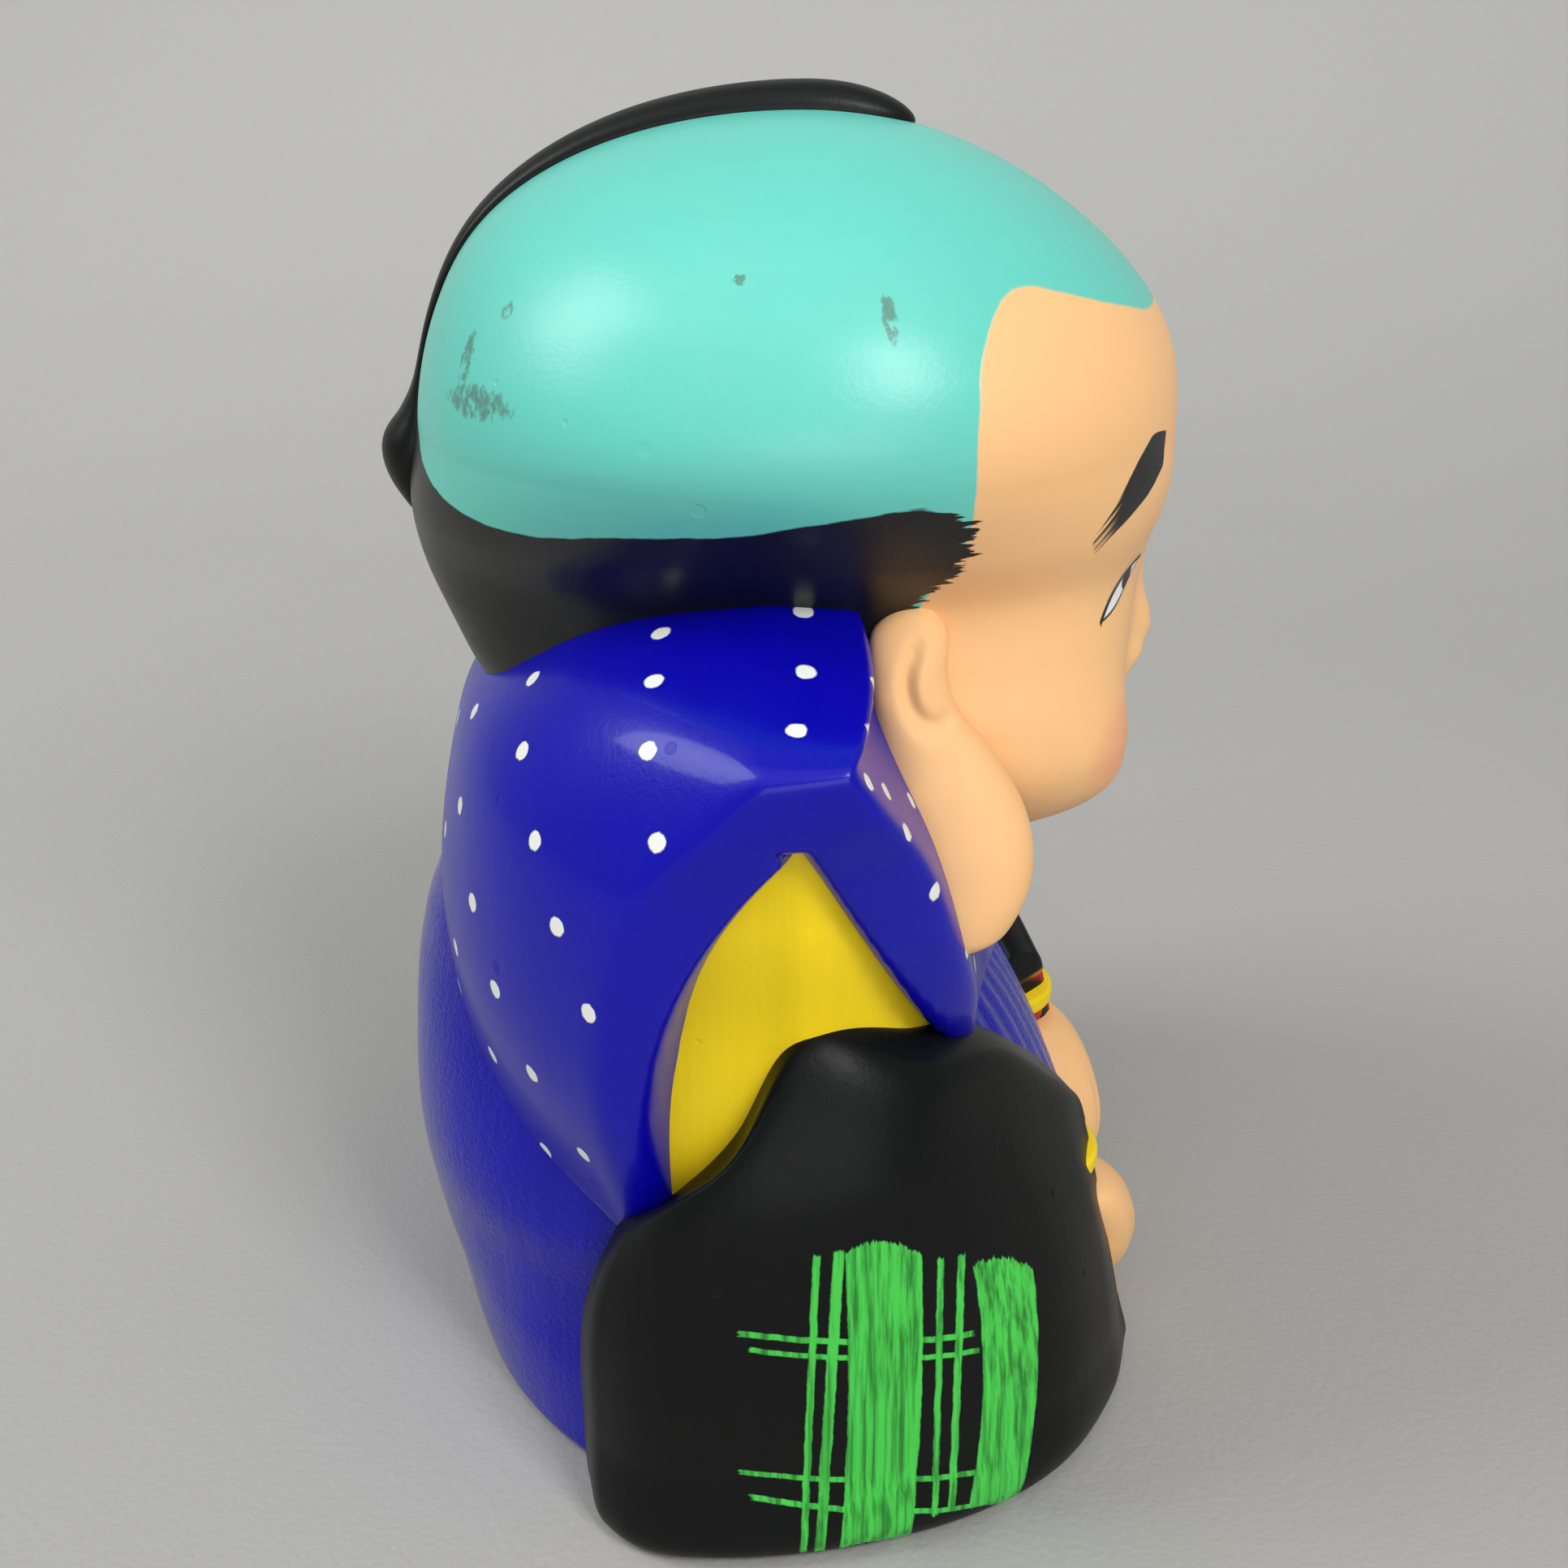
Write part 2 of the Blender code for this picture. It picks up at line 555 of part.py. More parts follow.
def make_hand(name, side, torso_guide):
    """Closed hand resting on the floor in front of the lap, without fingers told apart."""
    top = CUFF_TOP - 2 * CUFF_HEIGHT - CLEARANCE
    rings = []
    for share in np.linspace(0, 1, 8):
        close = (1 - (0.97 * share) ** 5) ** 0.5
        half = (WRIST_RADIUS - 1.5 + 3.0 * abs(sin(pi * share)) ** 0.6) * close
        forward = WRIST_FORWARD + HAND_REACH * sin(pi * share / 2) ** 0.35
        middle = WRIST_X - HAND_LEAN * (1 - (1 - share) ** 2)
        x, ahead = oval(turn(COARSE), half, half, half, 2.2)
        height = top - HAND_LENGTH * share
        rings.append(np.stack([side * middle + x, forward + ahead, height + 0 * x], axis=1))
    hand = skin(name, rings)
    guide = grown(hand, CLEARANCE)
    carve(hand, [copy_of(torso_guide)], 'MANIFOLD')
    paint(hand, (0.97, 0.6, 0.27), 0.45)
    return guide


# ------------------------------------------------------------------ skirt and base
def skirt_rings():
    """Rings of the pleated skirt-trousers, round behind and full in the lap."""
    levels = SKIRT_TOP * np.array((0, 0.083, 0.185, 0.266, 0.346, 0.48, 0.644, 0.827, 0.904, 0.971, 1))
    fronts = SKIRT_FRONT + np.array((-7, -1, 0, -1.5, -4, -9.5, -18, -31, -35.5, -38.5, -39.5))
    backs = SKIRT_BACK + np.array((-12, -6.5, -4.5, -2.3, -1, 0, -0.6, -3, -5.4, -9.5, -13))
    widths = SKIRT_HALF_WIDTH + np.array((8, 9, 6, 2, 0, 0, -4, -12, -14, -16, -17))
    rings = []
    for height in SKIRT_TOP * np.linspace(0, 1, 12) ** 1.15:
        front = through(levels, fronts, height)
        back = through(levels, backs, height)
        half_width = through(levels, widths, height)
        power = through((0, 0.2 * SKIRT_TOP, 0.45 * SKIRT_TOP, SKIRT_TOP), (2.0, 2.1, 2.35, 2.35), height)
        x, forward = oval(turn(FINE), front, back, half_width, power)
        rings.append(np.stack([x, forward, height + 0 * x], axis=1))
    return rings


def make_skirt_panel(name, side, cutters):
    """Front or back panel of the skirt-trousers; the sleeves and the core part the two at the hips."""
    panel = skin(name, skirt_rings())
    far = -side * 2 * SKIRT_BACK
    near = SKIRT_SEAM + 0.5 * side
    block = [(near, -10), (far, -10), (far, SKIRT_TOP + 10), (near, SKIRT_TOP + 10)]
    other_half = as_cutter(prism("other_half", block, -2 * SKIRT_HALF_WIDTH, 2 * SKIRT_HALF_WIDTH))
    carve(panel, [other_half] + cutters, 'MANIFOLD')
    paint(panel, (0.004, 0.001, 0.38), 0.24)


def base_ring(height, inset):
    x, forward = oval(turn(FINE), 44 - inset, 62 - inset, TORSO_HALF_WIDTH - 18 - inset, 2.2)
    return np.stack([x, forward, height + 0 * x], axis=1)


def make_base():
    """Flat base slab with the vent that lets the kiln's hot air out."""
    base = skin("base_plate", [base_ring(0, 0), base_ring(BASE_THICKNESS, 0)])
    guide = grown(base, CLEARANCE)
    carve(base, [as_cutter(column("vent", 0, VENT_FORWARD, -5, BASE_THICKNESS + 5, VENT_RADIUS))])
    paint(base, (0.62, 0.47, 0.36), 0.85)
    return guide


def copy_of(item):
    """Second copy of a cutter, because each cut uses its cutters up."""
    copy = bpy.data.objects.new(item.name, item.data.copy())
    bpy.context.collection.objects.link(copy)
    return as_cutter(copy)


def stand_on_table():
    """Move everything so that the origin is under the middle of the whole box."""
    items = list(bpy.data.objects)
    corners = np.array([vert.co[:] for item in items for vert in item.data.vertices])
    low = corners.min(axis=0)
    high = corners.max(axis=0)
    shift = ((low + high) / -2) * (1, 1, 0) - low * (0, 0, 1)
    for item in items:
        item.data.transform(Matrix.Translation(shift))


def build():
    clear_scene()
    head = make_head()
    make_topknot(head)
    ears = [make_ear("ear_right", -1, head), make_ear("ear_left", 1, head)]
    torso = make_torso(head, ears)
    vest = make_vest(head, ears, torso)
    base = make_base()
    around = [head, *ears, torso, vest]
    collar = make_collar("collar_left", 1, 1.5, [copy_of(item) for item in around])
    under = make_collar("collar_right", -1, 0, [copy_of(item) for item in (*around, collar)])
    hands = []
    for word, side in (("right", -1), ("left", 1)):
        hands.append(make_hand("hand_" + word, side, torso))
        hands.append(make_lining("cuff_red_" + word, side, 1, (0.46, 0.02, 0.02), torso))
        hands.append(make_lining("cuff_yellow_" + word, side, 0, (0.9, 0.6, 0.01), torso))
    inner = [torso, vest, base, *hands]
    sleeves = []
    for word, side in (("right", -1), ("left", 1)):
        sleeves.append(make_sleeve("sleeve_" + word, side, [copy_of(item) for item in inner]))
    near = (*inner, collar, under, *sleeves)
    make_skirt_panel("hakama_front", 1, [copy_of(item) for item in near])
    make_skirt_panel("hakama_back", -1, [copy_of(item) for item in near])
    for guide in [item for item in bpy.data.objects if item.display_type == 'WIRE']:
        bpy.data.objects.remove(guide, do_unlink=True)
    stand_on_table()


build()
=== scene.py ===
"""Painted earthenware doll, a big-headed seated man, in a plain studio.

Lengths in the sections are millimetres: x to the doll's left, forward, and up from the table.
The doll faces -Y, so a point (x, forward, up) stands at (x, -forward, up) in the frame.
"""

import bpy
import numpy as np
from math import pi, radians, sin, cos
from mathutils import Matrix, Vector


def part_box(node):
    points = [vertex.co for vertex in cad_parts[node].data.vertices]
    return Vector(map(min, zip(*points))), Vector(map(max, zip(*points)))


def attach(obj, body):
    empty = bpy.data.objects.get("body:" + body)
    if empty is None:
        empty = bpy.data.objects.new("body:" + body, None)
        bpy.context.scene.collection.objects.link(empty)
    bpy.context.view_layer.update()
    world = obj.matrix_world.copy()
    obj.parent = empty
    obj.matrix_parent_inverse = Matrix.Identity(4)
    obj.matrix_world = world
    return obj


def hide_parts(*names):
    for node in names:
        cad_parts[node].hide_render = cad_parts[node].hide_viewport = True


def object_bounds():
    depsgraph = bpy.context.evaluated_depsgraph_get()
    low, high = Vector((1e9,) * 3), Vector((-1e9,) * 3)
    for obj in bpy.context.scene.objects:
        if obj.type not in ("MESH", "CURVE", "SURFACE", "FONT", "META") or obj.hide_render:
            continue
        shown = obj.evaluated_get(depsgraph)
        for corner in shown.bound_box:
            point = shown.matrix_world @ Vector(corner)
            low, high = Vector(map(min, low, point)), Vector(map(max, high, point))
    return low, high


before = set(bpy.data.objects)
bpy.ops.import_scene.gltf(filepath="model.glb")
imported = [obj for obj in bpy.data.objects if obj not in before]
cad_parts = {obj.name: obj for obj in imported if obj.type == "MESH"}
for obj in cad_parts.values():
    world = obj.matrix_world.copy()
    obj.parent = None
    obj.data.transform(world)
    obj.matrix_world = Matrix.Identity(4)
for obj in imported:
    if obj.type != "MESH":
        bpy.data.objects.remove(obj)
cad_low, cad_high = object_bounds()


# ================================================================ base slab
# The slab closes the hollow casting from below. It is bare fired clay, wiped with slip, and it has the
# vent that lets the kiln's hot air out. Its solid comes from the frame as it is.
slab_low, slab_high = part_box("base_plate")
SLAB_BEHIND = 9.0   # the slab's middle lies this far behind the body's axis
BODY_AXIS = -500 * (slab_low.y + slab_high.y) + SLAB_BEHIND


def new_paint(name):
    """Material with a Principled surface; gives the material, its node tree and the surface node."""
    material = bpy.data.materials.new(name)
    material.use_nodes = True
    tree = material.node_tree
    return material, tree, tree.nodes["Principled BSDF"]


def wire(tree, socket, value):
    """Joins a socket to another one, or sets it to a plain value."""
    if isinstance(value, bpy.types.NodeSocket):
        tree.links.new(value, socket)
    else:
        socket.default_value = value


def maths(tree, operation, *values, clamp=False):
    """One Math node; gives its output."""
    step = tree.nodes.new("ShaderNodeMath")
    step.operation = operation
    step.use_clamp = clamp
    for socket, value in zip(step.inputs, values):
        wire(tree, socket, value)
    return step.outputs[0]


def times(tree, first, second):
    """Product of two values."""
    return maths(tree, 'MULTIPLY', first, second)


def minus(tree, first, second):
    """First value less the second."""
    return maths(tree, 'SUBTRACT', first, second)


def ramp(tree, value, low, high, to_low=0.0, to_high=1.0):
    """Smooth step from to_low, at low, up to to_high, at high."""
    step = tree.nodes.new("ShaderNodeMapRange")
    step.interpolation_type = 'SMOOTHSTEP'
    for name, number in (("Value", value), ("From Min", low), ("From Max", high),
                         ("To Min", to_low), ("To Max", to_high)):
        wire(tree, step.inputs[name], number)
    return step.outputs[0]


def blend(tree, share, first, second):
    """Colour between first, at share 0, and second, at share 1."""
    step = tree.nodes.new("ShaderNodeMix")
    step.data_type = 'RGBA'
    wire(tree, step.inputs["Factor"], share)
    wire(tree, step.inputs[6], first)
    wire(tree, step.inputs[7], second)
    return step.outputs[2]


def speckle(tree, vector, scale, detail=2.0, roughness=0.5):
    """Cloud-like noise from 0 to 1, with about scale lumps to a metre."""
    step = tree.nodes.new("ShaderNodeTexNoise")
    wire(tree, step.inputs["Vector"], vector)
    step.inputs["Scale"].default_value = scale
    step.inputs["Detail"].default_value = detail
    step.inputs["Roughness"].default_value = roughness
    return step.outputs["Fac"]


def object_place(tree, scale=(1, 1, 1), turn=(0, 0, 0)):
    """Object coordinates, turned and stretched."""
    source = tree.nodes.new("ShaderNodeTexCoord")
    step = tree.nodes.new("ShaderNodeMapping")
    step.inputs["Scale"].default_value = scale
    step.inputs["Rotation"].default_value = turn
    tree.links.new(source.outputs["Object"], step.inputs["Vector"])
    return step.outputs["Vector"]


def relief(tree, surface, height, depth):
    """Feeds a height, in parts of depth in metres, to the surface's normal."""
    step = tree.nodes.new("ShaderNodeBump")
    step.inputs["Distance"].default_value = depth
    step.inputs["Strength"].default_value = 1.0
    wire(tree, step.inputs["Height"], height)
    tree.links.new(step.outputs["Normal"], surface.inputs["Normal"])


def new_effect(name, inputs, outputs):
    """Empty node group with the named inputs and outputs; gives the group, its way in and its way out."""
    group = bpy.data.node_groups.new(name, 'ShaderNodeTree')
    kinds = {"value": 'NodeSocketFloat', "colour": 'NodeSocketColor', "vector": 'NodeSocketVector'}
    for title, kind in inputs:
        group.interface.new_socket(title, in_out='INPUT', socket_type=kinds[kind])
    for title, kind in outputs:
        group.interface.new_socket(title, in_out='OUTPUT', socket_type=kinds[kind])
    return group, group.nodes.new("NodeGroupInput").outputs, group.nodes.new("NodeGroupOutput").inputs


def place_effect(tree, group, **values):
    """Puts an effect in a material; an input's name has _ for each space. Gives its outputs."""
    step = tree.nodes.new("ShaderNodeGroup")
    step.node_tree = group
    for title, value in values.items():
        wire(tree, step.inputs[title.replace("_", " ").title()], value)
    return step.outputs


# Chips and pinholes: a few cells of a Voronoi pattern, each with a fleck of its own size at its middle.
flecks, given, gives = new_effect("flecks", [("Vector", "vector"), ("Scale", "value"), ("Share", "value")],
                                  [("Mask", "value")])
cells = flecks.nodes.new("ShaderNodeTexVoronoi")
wire(flecks, cells.inputs["Vector"], given["Vector"])
wire(flecks, cells.inputs["Scale"], given["Scale"])
pick = flecks.nodes.new("ShaderNodeSeparateColor")
wire(flecks, pick.inputs[0], cells.outputs["Color"])
chosen = maths(flecks, 'LESS_THAN', pick.outputs[0], given["Share"])
reach = maths(flecks, 'MULTIPLY_ADD', pick.outputs[1], 0.22, 0.05)
near = ramp(flecks, cells.outputs["Distance"], times(flecks, reach, 0.7), reach, 1.0, 0.0)
wire(flecks, gives["Mask"], times(flecks, chosen, near))

clay, tree, surface = new_paint("bare_clay")
place = object_place(tree)
cloud = speckle(tree, place, 45, 6, 0.6)
grit = speckle(tree, place, 1500, 3, 0.7)
tone = blend(tree, cloud, (0.50, 0.36, 0.26, 1), (0.72, 0.58, 0.46, 1))
pits = place_effect(tree, flecks, vector=place, scale=420.0, share=0.25)["Mask"]
wire(tree, surface.inputs["Base Color"], blend(tree, pits, tone, (0.20, 0.13, 0.09, 1)))
wire(tree, surface.inputs["Roughness"], maths(tree, 'MULTIPLY_ADD', grit, 0.15, 0.75))
relief(tree, surface, minus(tree, grit, times(tree, pits, 2)), 0.0002)
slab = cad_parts["base_plate"]
slab.data.materials.clear()
slab.data.materials.append(clay)


# ================================================================ kimono body
# The casting that carries the head: a hollow trunk with square shoulders. It is painted flat yellow,
# and it shows only inside the two armholes of the vest.
def through(stations, values, at):
    """Smooth curve through set values: cubic pieces whose slopes are those of the row of values."""
    stations = np.asarray(stations, float)
    values = np.asarray(values, float)
    slopes = np.gradient(values, stations, axis=0)
    at = np.clip(at, stations[0], stations[-1])
    left = np.clip(np.searchsorted(stations, at) - 1, 0, len(stations) - 2)
    span = stations[left + 1] - stations[left]
    t = (at - stations[left]) / span
    extra = (1,) * (values.ndim - 1)
    t = t.reshape(t.shape + extra)
    span = span.reshape(span.shape + extra)
    start = (1 + 2 * t) * (1 - t) ** 2 * values[left] + t * (1 - t) ** 2 * span * slopes[left]
    end = t * t * (3 - 2 * t) * values[left + 1] + t * t * (t - 1) * span * slopes[left + 1]
    return start + end


def oval(angles, front, back, half_width, power):
    """Superellipse with its own reach in front and behind; power 2 is an ellipse, more is boxier."""
    across = np.sin(angles)
    ahead = np.cos(angles)
    reach = np.where(ahead > 0, front, back)
    size = (np.abs(across / half_width) ** power + np.abs(ahead / reach) ** power) ** (-1 / power)
    return size * across, size * ahead


def hill(offset, spread):
    """Smooth hill of height 1 at offset 0, which fades over the spread."""
    return np.exp(-(offset / spread) ** 2)


def casting(name, grid, finish, slot_name, *nodes):
    """Closed skin through a stack of rings (rows, points round, xyz), a fan over each end, faces outwards.

    It takes the material, rides on the doll's one body and stands for the CAD nodes named.
    """
    rows, count = grid.shape[:2]
    middles = grid[[0, -1]].mean(axis=1)
    points = np.vstack([grid.reshape(-1, 3), middles]) * (0.001, -0.001, 0.001)
    k = np.arange(count)
    after = (k + 1) % count
    base = np.arange(rows - 1)[:, None] * count
    quads = np.stack([base + k, base + after, base + after + count, base + k + count], axis=-1).reshape(-1, 4)
    last = (rows - 1) * count
    low = np.stack([after, k, np.full(count, rows * count)], axis=1)
    high = np.stack([last + k, last + after, np.full(count, rows * count + 1)], axis=1)
    a, b, c, d = (points[quads[:, side]] for side in range(4))
    volume = (np.cross(b - a, c - a) * a).sum() + (np.cross(c - a, d - a) * a).sum()
    turn = 1 if volume > 0 else -1
    faces = [side[::turn] for side in quads.tolist() + low.tolist() + high.tolist()]
    mesh = bpy.data.meshes.new(name)
    mesh.from_pydata(points.tolist(), [], faces)
    mesh.shade_smooth()
    mesh.materials.append(finish)
    piece = bpy.data.objects.new(name, mesh)
    bpy.context.scene.collection.objects.link(piece)
    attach(piece, "root")
    if nodes:
        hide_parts(*nodes)
    return piece


def mark(piece, name, values):
    """Stores one number for each point of a casting's grid, and for its two end points, for its paint."""
    full = np.concatenate([values.ravel(), [values[0].mean(), values[-1].mean()]]).astype(np.float32)
    layer = piece.data.attributes.new(name, 'FLOAT', 'POINT')
    layer.data.foreach_set("value", full)


def read_mark(tree, name):
    """The numbers that mark() stored, in the output Fac."""
    step = tree.nodes.new("ShaderNodeAttribute")
    step.attribute_name = name
    return step.outputs


# Brushed coat: colour, gloss and relief of paint laid on with a flat brush. Streaks run along the axis
# that Brush stretches; mottle is the uneven thickness of the coat, and grain the tooth of the clay.
coat, given, gives = new_effect(
    "brushed_coat",
    [("Colour", "colour"), ("Place", "vector"), ("Brush", "vector"),
     ("Streaks", "value"), ("Mottle", "value"), ("Gloss", "value")],
    [("Colour", "colour"), ("Roughness", "value"), ("Height", "value")])
mottle = speckle(coat, given["Place"], 38, 4, 0.55)
bristle = speckle(coat, given["Brush"], 1.0, 4, 0.6)
tooth = speckle(coat, given["Place"], 1100, 2, 0.6)
pinholes = place_effect(coat, flecks, vector=given["Place"], scale=170.0, share=0.05)["Mask"]
uneven = times(coat, minus(coat, mottle, 0.5), given["Mottle"])
lined = times(coat, minus(coat, bristle, 0.5), given["Streaks"])
lightness = maths(coat, 'ADD', 1.0, maths(coat, 'ADD', uneven, lined))
tinted = coat.nodes.new("ShaderNodeVectorMath")
tinted.operation = 'SCALE'
wire(coat, tinted.inputs[0], given["Colour"])
wire(coat, tinted.inputs["Scale"], lightness)
wire(coat, gives["Colour"], tinted.outputs[0])
duller = times(coat, uneven, -0.5)
rougher = maths(coat, 'ADD', given["Gloss"], maths(coat, 'MULTIPLY_ADD', pinholes, 0.2, duller))
wire(coat, gives["Roughness"], maths(coat, 'ADD', rougher, times(coat, lined, 0.35), clamp=True))
raised = maths(coat, 'MULTIPLY_ADD', bristle, given["Streaks"], times(coat, tooth, 0.16))
wire(coat, gives["Height"], minus(coat, raised, times(coat, pinholes, 0.35)))


def plain_coat(name, colour, streaks, mottle, gloss, brush, clear=0.0, depth=0.00025, sheen=0.22):
    """Material of one brushed colour. brush is the bristle lines' count to a metre along x, y and z."""
    material, tree, surface = new_paint(name)
    laid = place_effect(tree, coat, colour=(*colour, 1), place=object_place(tree),
                        brush=object_place(tree, brush), streaks=streaks, mottle=mottle, gloss=gloss)
    wire(tree, surface.inputs["Base Color"], laid["Colour"])
    wire(tree, surface.inputs["Roughness"], laid["Roughness"])
    surface.inputs["Specular IOR Level"].default_value = sheen
    surface.inputs["Coat Weight"].default_value = clear
    surface.inputs["Coat Roughness"].default_value = 0.10
    relief(tree, surface, laid["Height"], depth)
    return material


YELLOW = (0.96, 0.69, 0.010)
FINE_RING = 300
round_once = np.arange(FINE_RING) * 2 * pi / FINE_RING

TORSO_HALF_WIDTH = 77.0
levels = np.array((0, 40, 70, 95, 120, 136, 148, 157))
fronts = np.array((40, 40, 38, 35, 31, 25, 16, 10))
backs = np.array((60, 62, 60, 57, 52, 47, 38, 28))
widths = TORSO_HALF_WIDTH + np.array((-17, -12, -4, -5.5, 0, 0, -11, -31))
SLAB_GAP = 0.5
up = np.linspace(slab_high.z * 1000 + SLAB_GAP, levels[-1], 150)[:, None]
x, ahead = oval(round_once, through(levels, fronts, up), through(levels, backs, up),
                through(levels, widths, up), 2.3)
fold = 1.2 * hill(ahead - 4, 5) * hill(up - 105, 40) * np.sign(x)
torso = np.stack([x + fold, ahead + BODY_AXIS, up + 0 * x], axis=-1)
yellow_coat = plain_coat("yellow_paint", YELLOW, 0.10, 0.16, 0.42, (60, 900, 60))
casting("kimono_trunk", torso, yellow_coat, "yellow_paint", "kimono_body")


# ================================================================ skirt-trousers
# The hakama: a front and a back panel of the same casting, round behind and full in the lap, painted glossy
# ultramarine over the clay. Pressed pleats run down the lap from the waist.
ULTRAMARINE = (0.0016, 0.0005, 0.37)
SKIRT_TOP = 104.0
SKIRT_HALF_WIDTH = 70.0
SKIRT_BACK = 75.0
SKIRT_FRONT = 65.0
PLEAT_PITCH = 13.0
PLEAT_DEPTH = 1.0

levels = SKIRT_TOP * np.array((0, 0.083, 0.185, 0.266, 0.346, 0.48, 0.644, 0.827, 0.904, 0.971, 1))
fronts = SKIRT_FRONT + np.array((-4, -1, 0, -1.5, -4, -9.5, -18, -31, -35.5, -38.5, -39.5))
backs = SKIRT_BACK + np.array((-8.5, -6.5, -4.5, -2.3, -1, 0, -0.6, -3, -5.4, -9.5, -13))
widths = SKIRT_HALF_WIDTH + np.array((11, 9, 6, 2, 0, 0, -4, -12, -14, -16, -17))
up = np.concatenate([SKIRT_TOP * np.linspace(0, 1, 200) ** 1.15, np.full(5, SKIRT_TOP)])[:, None]
foot_round = 3.0 * (1 - np.sqrt(1 - (1 - np.clip(up / 3.0, 0, 1)) ** 2))
top_round = np.concatenate([np.zeros(200), np.linspace(0.5, 12, 5)])[:, None]
inset = foot_round + top_round
boxy = through((0, 0.2 * SKIRT_TOP, 0.45 * SKIRT_TOP, SKIRT_TOP), (2.0, 2.1, 2.35, 2.35), up)
x, ahead = oval(round_once, through(levels, fronts, up) - inset, through(levels, backs, up) - inset,
                through(levels, widths, up) - inset, boxy)
lap = np.clip(np.cos(round_once), 0, 1) ** 0.5 * np.clip((up - 8) / 20, 0, 1)
spread = x / (0.35 + 0.65 * np.clip((105 - up) / 90, 0, 1))
pleat = (np.abs((spread / PLEAT_PITCH) % 1 - 0.5) * 2) ** 1.6
ahead = ahead - PLEAT_DEPTH * lap * pleat
skirt = np.stack([x, ahead + BODY_AXIS, up + 0 * x], axis=-1)
blue_coat = plain_coat("skirt_blue_paint", ULTRAMARINE, 0.30, 0.25, 0.13, (130, 130, 22), 0.5, 0.0034, 0.10)
casting("hakama_skirt", skirt, blue_coat, "blue_paint", "hakama_front", "hakama_back")


# ================================================================ hanging sleeves
# Each sleeve is a flat bag of the black outer kimono that hangs from the upper arm to the floor. It is
# pressed in a mould of its own; its outer face has a plaid of loose green brush strokes.
SLEEVE_HALF_SPAN = 89.5
SLEEVE_TOP = 99.0
SLEEVE_THICKNESS = 34.0
BLACK = (0.0055, 0.0062, 0.0058)
GREEN = (0.075, 0.62, 0.085)
RED = (0.43, 0.022, 0.020)


def sleeve_grid(side):
    """Rings over 8 stations, from the rear edge round to the mouth; each ring is a closed smooth curve
    through 7 rails: floor edge, low, middle, crease, peak, inner peak and inner floor."""
    out = SLEEVE_HALF_SPAN
    wide = SLEEVE_THICKNESS
    top = SLEEVE_TOP
    floor_edge = [(out - 15, -34.5, 0), (out - 7, -31, 0), (out - 0.8, -20, 0), (out - 1.2, 4, 0),
                  (out - 8, 30, 0), (out - 20, 50, 0), (out - 38, 63, 0), (34, 70, 0)]
    low = [(out - 15, -36, 20), (out - 7, -32, 20), (out, -20, 20), (out, 4, 20), (out - 6, 31, 20),
           (out - 18, 51, 20), (out - 37, 63.5, 16), (34, 68.5, 12)]
    middle = [(out - 15, -35, 42), (out - 8, -31, 46), (out - 1, -19, 48), (out - 1, 4, 48),
              (out - 8, 30, 48), (out - 22, 47, 46), (out - 41, 59, 40), (33, 64.5, 30)]
    crease = [(out - 17, -30, 56), (out - 11, -26, 62), (out - 5, -15, 72), (out - 4, 3, 75),
              (out - 10, 23, 76), (out - 27, 39, 71), (out - 46, 53, 58), (30, 60.3, 49)]
    peak = [(out - 19, -26, 60), (out - 14, -20, 66), (out - 10, -9, 77), (out - 17, 4, top - 2),
            (out - 21, 24, top - 9), (out - 38, 38, 82), (out - 53, 51, 66), (27, 57.2, 56)]
    inner_peak = [(out - 24, -22, 52), (out - 24, -16, 58), (out - 26, -8, 70), (out - 31, 4, top - 13),
                  (out - 39, 20, top - 19), (out - 52, 30, 72), (out - 64, 43, 61), (19, 49.5, 54)]
    inner_floor = [(out - 26, -26, 0), (out - wide, -20, 0), (out - wide, -14, 0), (out - wide, 4, 0),
                   (out - wide - 6, 22, 0), (out - wide - 16, 36, 0), (out - wide - 28, 46, 0), (20, 56, 0)]
    rails = np.array([floor_edge, low, middle, crease, peak, inner_peak, inner_floor], float)
    stations = np.linspace(0, 7, 230)
    corners = np.array([through(np.arange(8), rail, stations) for rail in rails])
    wrapped = np.concatenate([corners[-2:], corners, corners[:3]])
    grid = through(np.arange(-2, 10), wrapped, np.arange(0, 7, 7 / 280)).transpose(1, 0, 2)
    grid[..., 2] = np.maximum(grid[..., 2], 0)
    shrink = np.array((0.35, 0.68, 0.88, 0.97))[:, None, None]
    grow = shrink[::-1]
    rear = grid[0].mean(axis=0) + (grid[0] - grid[0].mean(axis=0)) * shrink - (0, 1, 0) * (1 - shrink) * 3
    mouth_middle = grid[-1].mean(axis=0)
    mouth = mouth_middle + (grid[-1] - mouth_middle) * grow * 0.97 - (0.6, -0.8, 0) * (1 - grow)
    whole = np.concatenate([rear, grid, mouth])
    whole[..., 1] += BODY_AXIS
    return whole * (side, 1, 1)


# Brush stroke: 1 where paint lies. Along and Across are millimetres from the stroke's start and from its
# middle line; the bristles part where it is dry, and its two ends are uneven.
stroke, given, gives = new_effect(
    "brush_stroke",
    [("Along", "value"), ("Across", "value"), ("Length", "value"), ("Half Width", "value"),
     ("Dryness", "value")],
    [("Mask", "value")])
lines = stroke.nodes.new("ShaderNodeCombineXYZ")
wire(stroke, lines.inputs[0], times(stroke, given["Along"], 0.018))
wire(stroke, lines.inputs[1], times(stroke, given["Across"], 1.6))
wire(stroke, lines.inputs[2], times(stroke, given["Length"], 3.7))
hairs = speckle(stroke, lines.outputs[0], 1.0, 3, 0.6)
sway = stroke.nodes.new("ShaderNodeCombineXYZ")
wire(stroke, sway.inputs[0], times(stroke, given["Along"], 0.22))
wire(stroke, sway.inputs[1], times(stroke, given["Length"], 1.3))
